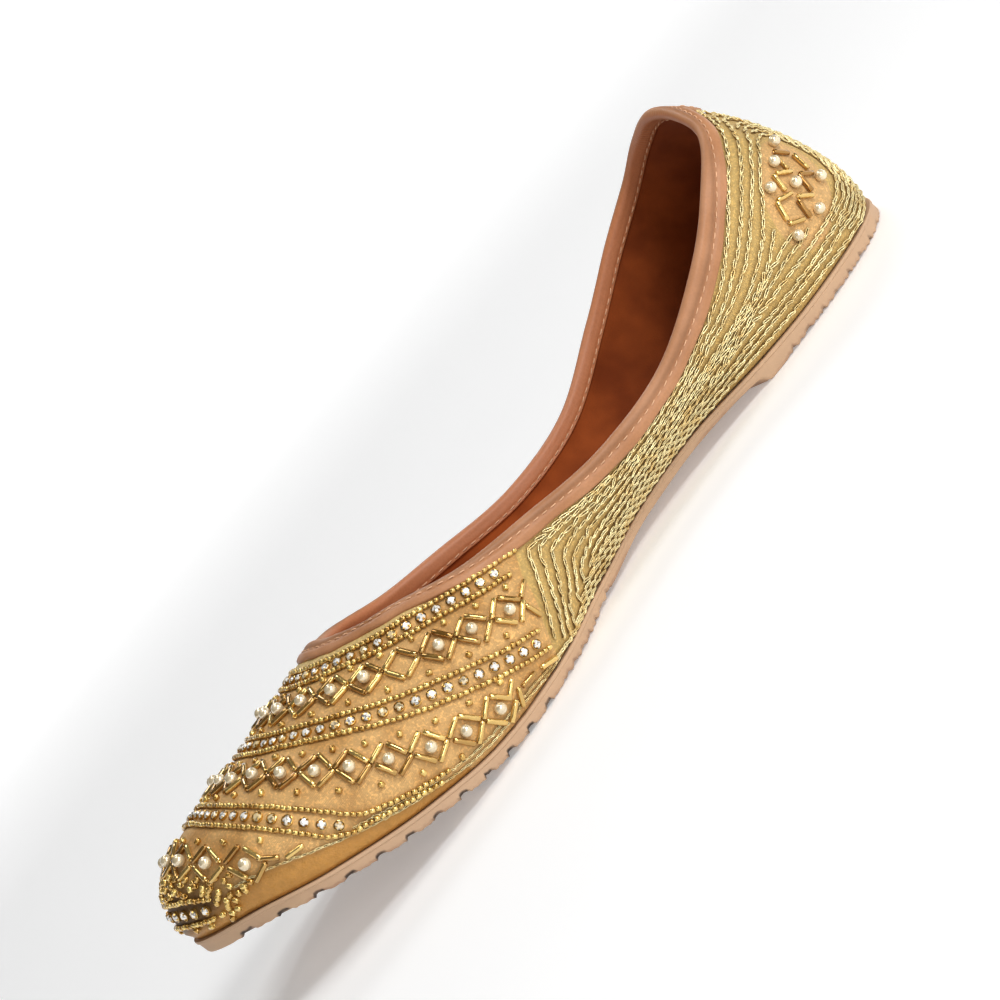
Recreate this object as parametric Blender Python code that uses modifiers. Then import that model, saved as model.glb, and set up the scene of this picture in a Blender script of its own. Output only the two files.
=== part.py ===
# Mojari: a flat slip-on shoe with a deep oval throat, a low waist and a collar
# that rises at the heel. It stands on its sole, toe towards -Y, heel towards +Y,
# and is the same on both sides of the plane X = 0.
import math
from collections import namedtuple

import bmesh
import bpy
import numpy as np

mm = 0.001

# Driving sizes of the last, without the thickness of what is sewn on it.
shoeLength = 252.0 * mm
ballWidth = 84.0 * mm
collarHeight = 60.0 * mm

wallThickness = 2.0 * mm
seatGap = 0.3 * mm
soleLip = 1.0 * mm

# Leather strip folded over the topline.
bindingThickness = 1.0 * mm
bindingInside = 3.4 * mm

# Soft board that fills the inside of the upper, with a rounded upper edge.
insoleThickness = 3.0 * mm
insoleInset = 2.6 * mm
insoleSideHeight = 2.1 * mm
insoleShoulder = 1.6 * mm
insoleClearance = 0.5 * mm

# Leather patch over the back seam, below the binding.
tabHalfWidth = 6.5 * mm
tabThickness = 1.2 * mm
tabSideLength = 6.0 * mm
tabPointLength = 9.0 * mm

# Lugs are cut as cross grooves through the whole width of the sole. Start and
# end are shares of the length, the rest millimetres.
Tread = namedtuple("Tread", "name start end pitch groove depth")
treads = [
    Tread("forefoot", -0.466, -0.120, 7.1, 2.4, 1.2),
    Tread("ball", -0.121, -0.004, 4.2, 1.6, 0.8),
    Tread("heel", 0.273, 0.472, 6.0, 1.7, 0.8),
]
grooveDraft = 0.3 * mm
soleTipInset = 0.15 * mm
soleShortestStep = 0.2 * mm

stepsPerStation = 4
stepsDownWall = 11
stepsAlongInsole = 3
stepsAlongSole = 12
stepsOnTab = 4
weldDistance = 0.01 * mm
bisectionSteps = 30
tinyStep = 1e-4
upwards = np.array((0.0, 0.0, 1.0))

# One row for each section of the last, from the back seam round one side to the
# middle of the toe. Each section runs from the topline down to the edge of the
# sole. Across is a share of half the ball width, along a share of the length,
# up a share of the collar height. Fall is the wall's slope below the level at
# the topline, rise its slope at the sole, both outwards, in degrees. The pulls
# say how far the wall keeps to these slopes, and strip how far the binding
# reaches down the outside, all in millimetres.
Section = namedtuple(
    "Section",
    "name topAcross topAlong topUp footAcross footAlong fall topPull rise footPull strip")
sections = [
    Section("back seam", 0.000, 0.420, 0.962, 0.000, 0.487, 49, 25, 72, 12, 4.6),
    Section("heel corner", 0.333, 0.414, 0.907, 0.405, 0.468, 53, 23, 71, 12, 3.6),
    Section("heel round", 0.636, 0.392, 0.799, 0.681, 0.420, 62, 19, 68, 13, 3.6),
    Section("heel side", 0.810, 0.338, 0.675, 0.781, 0.345, 82, 13, 62, 12, 5.2),
    Section("heel front", 0.888, 0.264, 0.525, 0.724, 0.254, 92, 10, 45, 11, 5.6),
    Section("rear waist", 0.845, 0.169, 0.387, 0.560, 0.159, 95, 7, 30, 9, 4.3),
    Section("waist", 0.814, 0.073, 0.378, 0.476, 0.063, 95, 7, 25, 10, 3.8),
    Section("fore waist", 0.834, -0.022, 0.462, 0.631, -0.028, 90, 9, 35, 11, 3.7),
    Section("ball rear", 0.830, -0.098, 0.546, 0.917, -0.111, 65, 13, 62, 12, 3.2),
    Section("ball", 0.662, -0.155, 0.645, 0.988, -0.218, 35, 15, 68, 14, 2.6),
    Section("vamp", 0.440, -0.188, 0.694, 0.900, -0.325, 18, 27, 76, 18, 3.2),
    Section("toe side", 0.228, -0.204, 0.730, 0.648, -0.426, 11, 36, 84, 22, 4.1),
    Section("toe middle", 0.000, -0.208, 0.747, 0.000, -0.484, 10, 45, 99, 27, 4.6),
]
lastSection = len(sections) - 1

# Side view of the sole. Along is a share of the length, the rest millimetres.
SolePoint = namedtuple("SolePoint", "name along under thick")
soleLine = [
    SolePoint("toe tip", -0.500, 21.8, 4.2),
    SolePoint("toe", -0.450, 18.9, 4.1),
    SolePoint("vamp front", -0.385, 12.7, 3.9),
    SolePoint("vamp middle", -0.290, 5.0, 3.7),
    SolePoint("ball front", -0.200, 0.5, 3.6),
    SolePoint("ball flat front", -0.160, 0.0, 3.6),
    SolePoint("ball flat rear", -0.060, 0.0, 3.5),
    SolePoint("fore waist", -0.003, 1.1, 2.9),
    SolePoint("waist", 0.073, 2.9, 2.6),
    SolePoint("rear waist", 0.150, 3.7, 2.7),
    SolePoint("block front", 0.232, 2.2, 3.0),
    SolePoint("block", 0.242, 0.0, 5.0),
    SolePoint("heel", 0.320, 0.0, 4.2),
    SolePoint("heel end", 0.500, 0.0, 3.9),
]


def smoothThrough(known, values, wanted):
    """Cubic curve through known points that never overshoots them."""
    known = np.asarray(known, float)
    values = np.asarray(values, float)
    run = np.diff(known)
    slope = np.diff(values) / run
    tangent = np.zeros(len(known))
    for i in range(1, len(known) - 1):
        if slope[i - 1] * slope[i] > 0:
            before = 2 * run[i] + run[i - 1]
            after = run[i] + 2 * run[i - 1]
            tangent[i] = (before + after) / (before / slope[i - 1] + after / slope[i])
    tangent[0] = slope[0]
    tangent[-1] = slope[-1]
    wanted = np.clip(np.asarray(wanted, float), known[0], known[-1])
    i = np.clip(np.searchsorted(known, wanted) - 1, 0, len(run) - 1)
    t = (wanted - known[i]) / run[i]
    return ((2 * t**3 - 3 * t**2 + 1) * values[i]
            + (t**3 - 2 * t**2 + t) * run[i] * tangent[i]
            + (3 * t**2 - 2 * t**3) * values[i + 1]
            + (t**3 - t**2) * run[i] * tangent[i + 1])


def soleUnder(y):
    """Height of the sole's underside, grooves left out."""
    return smoothThrough([p.along * shoeLength for p in soleLine],
                         [p.under * mm for p in soleLine], y)


def soleTop(y):
    """Height of the sole's upper face."""
    return smoothThrough([p.along * shoeLength for p in soleLine],
                         [(p.under + p.thick) * mm for p in soleLine], y)


def column(name, u):
    """Column of the section table at any place u between the rows."""
    mirrored = -1 if name in ("topAcross", "footAcross") else 1
    values = [getattr(s, name) for s in sections]
    values = [mirrored * values[1]] + values + [mirrored * values[-2]]
    i = min(int(u), lastSection - 1) if u >= 0 else 0
    t = u - i
    a, b, c, d = values[i:i + 4]
    return b + 0.5 * t * (c - a + t * (2 * a - 5 * b + 4 * c - d + t * (3 * (b - c) + d - a)))


def unit(vector):
    return vector / np.linalg.norm(vector)


def planPoint(end, u):
    """Place of the topline or of the sole's edge in plan."""
    return np.array((column(end + "Across", u) * ballWidth / 2,
                     column(end + "Along", u) * shoeLength, 0.0))


def outwards(end, u):
    """Level direction away from the foot, square to the topline or sole edge."""
    run = planPoint(end, u + tinyStep) - planPoint(end, u - tinyStep)
    return unit(np.array((-run[1], run[0], 0.0)))


def footPoint(u):
    """Lower edge of the upper, on the sole."""
    point = planPoint("foot", u)
    point[2] = soleTop(point[1]) + seatGap
    return point


def topPoint(u):
    """Upper edge of the upper, inside the binding."""
    point = planPoint("top", u)
    point[2] = column("topUp", u) * collarHeight
    return point


def wallPoint(u, v):
    """Outer face of the upper: u round the shoe, v from topline 0 to sole 1."""
    fall = math.radians(column("fall", u))
    rise = math.radians(column("rise", u))
    start = topPoint(u)
    end = footPoint(u)
    nearTop = start + column("topPull", u) * mm * (
        math.cos(fall) * outwards("top", u) - math.sin(fall) * upwards)
    nearFoot = end + column("footPull", u) * mm * (
        math.cos(rise) * outwards("foot", u) + math.sin(rise) * upwards)
    w = 1 - v
    return w**3 * start + 3 * w * w * v * nearTop + 3 * w * v * v * nearFoot + v**3 * end


def wallNormal(u, v):
    """Outward direction square to the upper's outer face."""
    low = max(v - tinyStep, 0)
    high = min(v + tinyStep, 1)
    around = wallPoint(u + tinyStep, v) - wallPoint(u - tinyStep, v)
    down = wallPoint(u, high) - wallPoint(u, low)
    return unit(np.cross(around, down))


def wallShare(u, depth, samples=40):
    """The v of the point that lies a given depth below the topline."""
    travelled = 0.0
    last = wallPoint(u, 0)
    for i in range(1, samples + 1):
        point = wallPoint(u, i / samples)
        step = np.linalg.norm(point - last)
        if travelled + step >= depth:
            return (i - 1 + (depth - travelled) / step) / samples
        travelled += step
        last = point
    return 1.0


def seamDistance(across, depth):
    """The u of the point that far beside the back seam, at a depth."""
    low = 0.0
    high = 1.0
    for _ in range(bisectionSteps):
        middle = (low + high) / 2
        if wallPoint(middle, wallShare(middle, depth))[0] < across:
            low = middle
        else:
            high = middle
    return low


def wallOffset(u, v, offset):
    """Point at a distance outside the upper's outer face."""
    return wallPoint(u, v) + wallNormal(u, v) * offset


def sideShare(u, height, inside):
    """The v at which the inside of the wall is at a height, near the sole."""
    low = 0.5
    high = 1.0
    for _ in range(bisectionSteps):
        middle = (low + high) / 2
        if wallOffset(u, middle, -inside)[2] > height:
            low = middle
        else:
            high = middle
    return low


def newObject(name, verts, faces, collection, colour, roughness):
    """Mesh object with its own material."""
    mesh = bpy.data.meshes.new(name)
    mesh.from_pydata([tuple(p) for p in verts], [], faces)
    obj = bpy.data.objects.new(name, mesh)
    collection.objects.link(obj)
    material = bpy.data.materials.new(name)
    material.use_nodes = True
    shader = material.node_tree.nodes["Principled BSDF"]
    shader.inputs["Base Color"].default_value = (*colour, 1)
    shader.inputs["Roughness"].default_value = roughness
    shader.inputs["Metallic"].default_value = 0.0
    mesh.materials.append(material)
    return obj


def finish(obj, sharpDegrees=50):
    """Smooth shading between sharp edges."""
    obj.data.shade_smooth()
    obj.data.set_sharp_from_angle(angle=math.radians(sharpDegrees))


def mirrorHalf(obj):
    """The other side of a half that is open at X = 0."""
    mirror = obj.modifiers.new("other side", "MIRROR")
    mirror.use_axis = (True, False, False)
    mirror.merge_threshold = weldDistance


def gridFaces(rows, columns, ring=False):
    """Quads between neighbouring rows of points."""
    faces = []
    across = columns if ring else columns - 1
    for i in range(rows - 1):
        for j in range(across):
            k = (j + 1) % columns
            faces.append((i * columns + j, i * columns + k,
                          (i + 1) * columns + k, (i + 1) * columns + j))
    return faces


def onPlane(point, u):
    """The point, put exactly on X = 0 at the back seam and the toe."""
    if u in (0, lastSection):
        point[0] = 0.0
    return point


def makeUpper(collection):
    rows = lastSection * stepsPerStation + 1
    verts = []
    for i in range(rows):
        u = i / stepsPerStation
        for j in range(stepsDownWall + 1):
            verts.append(onPlane(wallPoint(u, j / stepsDownWall), u))
    faces = [tuple(reversed(f)) for f in gridFaces(rows, stepsDownWall + 1)]
    upper = newObject("upper", verts, faces, collection, (0.60, 0.40, 0.17), 0.55)
    mirrorHalf(upper)
    wall = upper.modifiers.new("wall", "SOLIDIFY")
    wall.thickness = wallThickness
    wall.offset = -1
    wall.use_even_offset = True
    upper.data.shade_smooth()
    return upper


def bindingReach(u):
    """How far the binding reaches down the outside of the upper."""
    return column("strip", u) * mm


def bindingProfile(reach):
    """Section of the folded strip: depth below the topline, distance outside."""
    near = seatGap
    far = seatGap + bindingThickness
    inNear = -wallThickness - seatGap
    inFar = -wallThickness - seatGap - bindingThickness
    middle = -wallThickness / 2
    outer = [(reach, far), (reach / 2, far), (0, far)]
    for k in (1, 2, 3):
        angle = math.pi * k / 4
        outer.append((-(far - middle) * math.sin(angle), middle + (far - middle) * math.cos(angle)))
    outer += [(0, inFar), (bindingInside, inFar)]
    inner = [(bindingInside, inNear), (0, inNear)]
    inner.append((-(near - middle), middle))
    inner += [(0, near), (reach / 2, near), (reach, near)]
    return outer + inner


def makeBinding(collection):
    rows = lastSection * stepsPerStation + 1
    verts = []
    for i in range(rows):
        u = i / stepsPerStation
        profile = bindingProfile(bindingReach(u))
        edge = wallPoint(u, 0)
        onwards = unit(edge - wallPoint(u, tinyStep))
        normal = wallNormal(u, 0)
        for depth, offset in profile:
            if depth > 0:
                point = wallOffset(u, wallShare(u, depth), offset)
            else:
                point = edge - onwards * depth + normal * offset
            verts.append(onPlane(point, u))
    faces = gridFaces(rows, len(profile), ring=True)
    binding = newObject("collar_binding", verts, faces, collection, (0.52, 0.26, 0.16), 0.45)
    finish(binding)
    mirrorHalf(binding)
    return binding


def makeTab(collection):
    base = bindingReach(0) + seatGap
    verts = []
    for i in range(stepsOnTab + 1):
        share = i / stepsOnTab
        length = tabPointLength + (tabSideLength - tabPointLength) * share
        for j in range(stepsOnTab + 1):
            depth = base + length * j / stepsOnTab
            u = seamDistance(tabHalfWidth * share, depth) if i else 0
            point = wallOffset(u, wallShare(u, depth), seatGap + tabThickness)
            verts.append(onPlane(point, u))
    faces = [tuple(reversed(f)) for f in gridFaces(stepsOnTab + 1, stepsOnTab + 1)]
    tab = newObject("back_tab", verts, faces, collection, (0.50, 0.27, 0.20), 0.5)
    mirrorHalf(tab)
    skin = tab.modifiers.new("leather", "SOLIDIFY")
    skin.thickness = tabThickness
    skin.offset = -1
    tab.data.shade_smooth()
    return tab


def soleOutline():
    """Half widths of the sole against their place along the shoe, heel to toe."""
    samples = lastSection * stepsAlongSole
    points = []
    for i in range(samples + 1):
        u = lastSection * i / samples
        points.append(planPoint("foot", u) + outwards("foot", u) * soleLip)
    return points


def grooveEdges():
    """Places along the sole with the depth of the tread there, toe to heel."""
    places = []
    for row in treads:
        pitch, width, depth = row.pitch * mm, row.groove * mm, row.depth * mm
        count = int((row.end - row.start) * shoeLength / pitch)
        for i in range(count):
            y = row.start * shoeLength + i * pitch
            places += [(y, 0.0), (y + grooveDraft, depth),
                       (y + width - grooveDraft, depth), (y + width, 0.0)]
    return places


def makeOutsole(collection):
    outline = soleOutline()
    alongOutline = np.array([p[1] for p in outline][::-1])
    acrossOutline = np.array([p[0] for p in outline][::-1])
    grooves = grooveEdges()
    plain = [y for y in alongOutline[1:-1]
             if all(abs(y - g[0]) > 2 * grooveDraft for g in grooves)]
    ends = [alongOutline[0] + soleTipInset, alongOutline[-1] - soleTipInset]
    blockEdges = [p.along * shoeLength for p in soleLine if p.name.startswith("block")]
    places = sorted(set(plain + ends + blockEdges + [g[0] for g in grooves]))
    grooveY = np.array([g[0] for g in grooves])
    grooveD = np.array([g[1] for g in grooves])
    verts = []
    kept = []
    for y in places:
        if kept and y - kept[-1] < soleShortestStep:
            continue
        kept.append(y)
        half = float(np.interp(y, alongOutline, acrossOutline))
        under = float(soleUnder(y)) + float(np.interp(y, grooveY, grooveD, 0, 0))
        top = float(soleTop(y))
        verts += [(half, y, top), (half, y, under), (-half, y, under), (-half, y, top)]
    faces = gridFaces(len(kept), 4, ring=True)
    last = len(verts) - 4
    faces += [(3, 2, 1, 0), (last, last + 1, last + 2, last + 3)]
    outsole = newObject("outsole", verts, faces, collection, (0.72, 0.50, 0.40), 0.6)
    finish(outsole, 30)
    return outsole


def makeInsole(collection):
    rows = lastSection * stepsAlongInsole
    inside = wallThickness + insoleClearance
    rings = []
    for i in range(rows + 1):
        u = lastSection * i / rows
        foot = planPoint("foot", u)
        out = outwards("foot", u)
        low = foot - out * insoleInset
        low[2] = soleTop(low[1]) + seatGap
        side = wallOffset(u, sideShare(u, low[2] + insoleSideHeight, inside), -inside)
        shoulder = side - out * insoleShoulder
        shoulder[2] = soleTop(shoulder[1]) + seatGap + insoleThickness
        rings.append([onPlane(p, u) for p in (low, side, shoulder)])
    verts = []
    for low, side, shoulder in rings:
        midLow = (0, low[1], low[2])
        midTop = (0, shoulder[1], shoulder[2])
        verts += [midLow, low, side, shoulder, midTop]
    faces = gridFaces(rows + 1, 5)
    insole = newObject("insole", verts, faces, collection, (0.42, 0.17, 0.07), 0.85)
    bm = bmesh.new()
    bm.from_mesh(insole.data)
    bmesh.ops.remove_doubles(bm, verts=bm.verts, dist=weldDistance)
    bmesh.ops.dissolve_degenerate(bm, edges=bm.edges, dist=weldDistance)
    bm.to_mesh(insole.data)
    bm.free()
    finish(insole, 40)
    mirrorHalf(insole)
    return insole


for old in list(bpy.data.objects):
    bpy.data.objects.remove(old, do_unlink=True)
shoe = bpy.data.collections.new("mojari")
bpy.context.scene.collection.children.link(shoe)
makeOutsole(shoe)
makeInsole(shoe)
makeUpper(shoe)
makeBinding(shoe)
makeTab(shoe)
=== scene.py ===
import math
from collections import namedtuple

import bpy
import numpy as np
from mathutils import Matrix, Vector, kdtree


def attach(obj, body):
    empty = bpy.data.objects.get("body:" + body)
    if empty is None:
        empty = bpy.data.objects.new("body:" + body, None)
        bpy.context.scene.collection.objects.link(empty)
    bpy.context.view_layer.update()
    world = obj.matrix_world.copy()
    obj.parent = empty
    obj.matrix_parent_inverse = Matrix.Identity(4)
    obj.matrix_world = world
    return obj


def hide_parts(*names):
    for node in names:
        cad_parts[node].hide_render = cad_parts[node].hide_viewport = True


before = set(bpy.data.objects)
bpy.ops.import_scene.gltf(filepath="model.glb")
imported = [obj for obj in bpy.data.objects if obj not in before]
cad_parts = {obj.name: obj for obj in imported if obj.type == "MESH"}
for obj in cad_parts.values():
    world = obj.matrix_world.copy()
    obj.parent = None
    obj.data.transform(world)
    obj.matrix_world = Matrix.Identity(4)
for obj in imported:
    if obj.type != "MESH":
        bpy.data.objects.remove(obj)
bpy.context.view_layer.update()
mm = 0.001
lastSection = 12
roundU = 2 * lastSection          # u goes once round the shoe, 12 is the middle of the toe
mmPerU = 21                       # about that far round for each section
rng = np.random.default_rng(38)


# ---- the last, as the shoe was cut ----
last = dict(length=252 * mm, ballWidth=84 * mm, collar=60 * mm, wall=2 * mm, skived=1.2 * mm, gap=0.3 * mm,
            lip=1 * mm)
Section = namedtuple(
    "Section", "name topAcross topAlong topUp footAcross footAlong fall topPull rise footPull strip")
sections = [
    Section("back seam", 0.000, 0.420, 0.962, 0.000, 0.487, 49, 25, 72, 12, 4.6),
    Section("heel corner", 0.333, 0.414, 0.907, 0.405, 0.468, 53, 23, 71, 12, 3.6),
    Section("heel round", 0.636, 0.392, 0.799, 0.681, 0.420, 62, 19, 68, 13, 3.6),
    Section("heel side", 0.810, 0.338, 0.675, 0.781, 0.345, 82, 13, 62, 12, 5.2),
    Section("heel front", 0.888, 0.264, 0.525, 0.724, 0.254, 92, 10, 45, 11, 5.6),
    Section("rear waist", 0.845, 0.169, 0.387, 0.560, 0.159, 95, 7, 30, 9, 4.3),
    Section("waist", 0.814, 0.073, 0.378, 0.476, 0.063, 95, 7, 25, 10, 3.8),
    Section("fore waist", 0.834, -0.022, 0.462, 0.631, -0.028, 90, 9, 35, 11, 3.7),
    Section("ball rear", 0.830, -0.098, 0.546, 0.917, -0.111, 65, 13, 62, 12, 3.2),
    Section("ball", 0.662, -0.155, 0.645, 0.988, -0.218, 35, 15, 68, 14, 2.6),
    Section("vamp", 0.440, -0.188, 0.694, 0.900, -0.325, 18, 27, 76, 18, 3.2),
    Section("toe side", 0.228, -0.204, 0.730, 0.648, -0.426, 11, 36, 84, 22, 4.1),
    Section("toe middle", 0.000, -0.208, 0.747, 0.000, -0.484, 10, 45, 99, 27, 4.6),
]
SolePoint = namedtuple("SolePoint", "name along under thick")
soleLine = [
    SolePoint("toe tip", -0.500, 21.8, 4.2),
    SolePoint("toe", -0.450, 18.9, 4.1),
    SolePoint("vamp front", -0.385, 12.7, 3.9),
    SolePoint("vamp middle", -0.290, 5.0, 3.7),
    SolePoint("ball front", -0.200, 0.5, 3.6),
    SolePoint("ball flat front", -0.160, 0.0, 3.6),
    SolePoint("ball flat rear", -0.060, 0.0, 3.5),
    SolePoint("fore waist", -0.003, 1.1, 2.9),
    SolePoint("waist", 0.073, 2.9, 2.6),
    SolePoint("rear waist", 0.150, 3.7, 2.7),
    SolePoint("block front", 0.232, 2.2, 3.0),
    SolePoint("block", 0.242, 0.0, 5.0),
    SolePoint("heel", 0.320, 0.0, 4.2),
    SolePoint("heel end", 0.500, 0.0, 3.9),
]


def smoothThrough(known, values, wanted):
    # cubic through the known points that never overshoots
    known, values = np.asarray(known, float), np.asarray(values, float)
    run = np.diff(known)
    slope = np.diff(values) / run
    tangent = np.zeros(len(known))
    for i in range(1, len(known) - 1):
        if slope[i - 1] * slope[i] > 0:
            before, after = 2 * run[i] + run[i - 1], run[i] + 2 * run[i - 1]
            tangent[i] = (before + after) / (before / slope[i - 1] + after / slope[i])
    tangent[0], tangent[-1] = slope[0], slope[-1]
    wanted = np.clip(np.asarray(wanted, float), known[0], known[-1])
    i = np.clip(np.searchsorted(known, wanted) - 1, 0, len(run) - 1)
    t = (wanted - known[i]) / run[i]
    return ((2 * t**3 - 3 * t**2 + 1) * values[i] + (t**3 - 2 * t**2 + t) * run[i] * tangent[i]
            + (3 * t**2 - 2 * t**3) * values[i + 1] + (t**3 - t**2) * run[i] * tangent[i + 1])


def soleUnder(y, thick=0):
    # height of the sole's underside, or of its top with thick 1
    return smoothThrough([p.along * last["length"] for p in soleLine],
                         [(p.under + thick * p.thick) * mm for p in soleLine], y)


def soleTop(y):
    return soleUnder(y, 1)


def column(name, u):
    other = -1 if name in ("topAcross", "footAcross") else 1
    values = [getattr(s, name) for s in sections]
    values = np.array([other * values[1]] + values + [other * values[-2]], float)
    i = np.clip(np.floor(u).astype(int), 0, lastSection - 1)
    t = u - i
    a, b, c, d = (values[i + k] for k in range(4))
    return b + 0.5 * t * (c - a + t * (2 * a - 5 * b + 4 * c - d + t * (3 * (b - c) + d - a)))


def unit(v):
    return v / np.linalg.norm(v, axis=-1, keepdims=True)


def squareTo(outward, run):
    # the direction of run along the surface
    return unit(run - outward * np.sum(run * outward, -1, keepdims=True))


def planPoint(end, u):
    return np.stack([column(end + "Across", u) * last["ballWidth"] / 2,
                     column(end + "Along", u) * last["length"], np.zeros_like(u)], -1)


def outwards(end, u):
    run = planPoint(end, u + 1e-4) - planPoint(end, u - 1e-4)
    return unit(np.stack([-run[..., 1], run[..., 0], np.zeros_like(u)], -1))


def wallPoint(u, v):
    # outer face of the upper: u 0 back seam to 12 toe, v 0 topline to 1 sole
    u, v = np.broadcast_arrays(np.asarray(u, float), np.asarray(v, float))
    fall, rise = np.radians(column("fall", u))[..., None], np.radians(column("rise", u))[..., None]
    up = np.array((0.0, 0.0, 1.0))
    start, end = planPoint("top", u), planPoint("foot", u)
    start[..., 2] = column("topUp", u) * last["collar"]
    end[..., 2] = soleTop(end[..., 1]) + last["gap"]
    nearTop = start + (column("topPull", u) * mm)[..., None] * (
        np.cos(fall) * outwards("top", u) - np.sin(fall) * up)
    nearFoot = end + (column("footPull", u) * mm)[..., None] * (
        np.cos(rise) * outwards("foot", u) + np.sin(rise) * up)
    v = v[..., None]
    w = 1 - v
    return w**3 * start + 3 * w * w * v * nearTop + 3 * w * v * v * nearFoot + v**3 * end


def wallNormal(u, v):
    around = wallPoint(u + 1e-4, v) - wallPoint(u - 1e-4, v)
    down = wallPoint(u, np.minimum(v + 1e-4, 1)) - wallPoint(u, np.maximum(v - 1e-4, 0))
    return unit(np.cross(around, down))


def lengthAlong(points, scale=1.0):
    # running length from the first point to each
    return np.concatenate([[0], np.cumsum(np.linalg.norm(np.diff(points, axis=0), axis=1) / scale)])


def readAlong(at, arc, points):
    # points of a line at these running lengths
    return np.stack([np.interp(at, arc, values) for values in np.transpose(points)], -1)


# tables that turn a depth below the topline, in mm, into v
uTable = np.linspace(0, lastSection, 24 * lastSection + 1)
shares = np.linspace(0, 1, 121)
wallTable = wallPoint(uTable[:, None], shares)
wallArcs = np.stack([lengthAlong(row, mm) for row in wallTable])
vTable = np.stack([np.interp(shares * a[-1], a, shares) for a in wallArcs])
alongTable = lengthAlong(wallTable[:, len(shares) // 2], mm)


def fold(u):
    # u on the right half, and the side it is on
    u = np.asarray(u, float) % roundU
    return np.where(u > lastSection, roundU - u, u), np.where(u > lastSection, -1.0, 1.0)


def wallDepth(u):
    # whole depth of the upper there, in mm
    return np.interp(fold(u)[0], uTable, wallArcs[:, -1])


def alongMm(u):
    half, side = fold(u)
    s = np.interp(half, uTable, alongTable)
    return np.where(side > 0, s, 2 * alongTable[-1] - s)


def shareOf(u, depth):
    # v at that depth
    rows = len(shares) - 1
    f = np.clip(u / uTable[1], 0, len(uTable) - 1.000001)
    g = np.clip(np.asarray(depth, float) / np.interp(u, uTable, wallArcs[:, -1]) * rows, 0, rows - 1e-6)
    i, j = f.astype(int), g.astype(int)
    f, g = f - i, g - j
    return ((vTable[i, j] * (1 - f) + vTable[i + 1, j] * f) * (1 - g)
            + (vTable[i, j + 1] * (1 - f) + vTable[i + 1, j + 1] * f) * g)


def step(x, low, high):
    t = np.clip((np.asarray(x, float) - low) / (high - low), 0, 1)
    return t * t * (3 - 2 * t)


def ridge(x, width):
    return np.exp(-(x / width)**2)


def bothHalves(perSection):
    # u right round the shoe
    half = np.linspace(0, lastSection, lastSection * perSection + 1)
    return np.concatenate([half, roundU - half[-2:0:-1]])


# ---- where the cloths meet, u and depth in mm, the same on both sides ----
vampRear = [(7.42, 3.0), (7.65, 9.0), (7.80, 16.0), (7.92, 21.0), (8.00, 27.5), (8.02, 31.0)]
rimTop = [(9.2, 43.2), (9.6, 47.0), (10.1, 52.6), (10.5, 57.0), (11.0, 62.5), (11.4, 68.0), (11.6, 72.0),
          (12.0, 75.5)]
throatStrip = [(7.4, 2.2), (8.0, 2.0), (9.0, 3.9), (10.0, 5.2), (11.0, 6.2), (12.0, 6.9)]
motif = dict(u=2.26, depth=24.0, halfU=0.70, halfDepth=11.0)

# soft troughs and ridges worked in by the lasting and by wear
Crease = namedtuple("Crease", "name u depth lean halfLength halfWidth height")
creases = [
    Crease("flex of the vamp", 8.7, 27.0, 65, 12, 3.0, -0.30),
    Crease("flex of the vamp, behind", 8.35, 20.0, 70, 10, 3.2, 0.22),
    Crease("other vamp flex", 15.4, 27.0, 115, 12, 3.0, -0.30),
    Crease("other vamp flex, behind", 15.8, 21.0, 110, 10, 3.2, 0.22),
    Crease("waist pull", 6.6, 15.0, 12, 10, 1.8, -0.28),
    Crease("waist pull, low", 5.6, 17.0, 4, 11, 1.5, -0.22),
    Crease("other waist pull", 17.7, 14.0, -14, 11, 1.8, -0.26),
    Crease("heel dent", 3.6, 24.0, -35, 12, 4.0, -0.35),
    Crease("heel swell", 1.5, 26.0, 90, 12, 6.0, 0.25),
    Crease("other heel dent", 20.6, 22.0, 30, 11, 4.0, -0.30),
    Crease("toe dimple", 11.3, 30.0, 10, 9, 4.0, -0.22),
    Crease("toe dimple, other side", 13.1, 42.0, -20, 9, 4.0, -0.20),
    Crease("rim fold", 10.7, 63.0, 25, 6, 1.2, 0.16),
    Crease("rim fold, front", 11.3, 71.0, 35, 5, 1.1, -0.14),
    Crease("rim fold, other side", 13.4, 62.0, -30, 6, 1.2, 0.16),
]
# heights in mm; the step at the panel's edge is in u
reliefLook = dict(panel=0.32, panelStep=(-0.0227, 0.0182), rim=0.25, rimStep=(-0.4, 0.5), toeSwell=1.2,
                  toeDepth=(60, 70), toeU=(11.15, 11.7), clearOfStrip=(-1.5, 0.6), clearOfSole=(0.2, 2.2))


def pastVamp(u, depth):
    # sections ahead of the beaded panel's rear edge
    return u - np.interp(depth, *np.transpose(vampRear)[::-1])


def pastRim(u, depth):
    # mm below the top of the satin rim
    return depth - np.interp(u, *np.transpose(rimTop), left=99)


def relief(u, depth):
    # how far the cloth stands off the last's own surface, in mm; u 0 to 24
    look = reliefLook
    half, depth = fold(u)[0], np.asarray(depth, float)
    panel = step(pastVamp(half, depth), *look["panelStep"])
    high = panel * (look["panel"] - look["rim"] * step(pastRim(half, depth), *look["rimStep"]))
    # the toe is padded out under the beadwork
    high = high + look["toeSwell"] * step(depth, *look["toeDepth"]) * step(half, *look["toeU"])
    s = alongMm(u)
    high = high + 0.07 * np.sin(s / 7.3 + depth / 11) + 0.06 * np.sin(s / 3.9 - depth / 5.1 + 1.7)
    for c in creases:
        x, y, a = (np.asarray(u, float) % roundU - c.u) * mmPerU, depth - c.depth, math.radians(c.lean)
        high = high + c.height * (ridge(x * math.cos(a) + y * math.sin(a), c.halfLength)
                                  * ridge(y * math.cos(a) - x * math.sin(a), c.halfWidth))
    return (high * step(depth - column("strip", half), *look["clearOfStrip"])
            * step(wallDepth(u) - depth, *look["clearOfSole"]))


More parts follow.
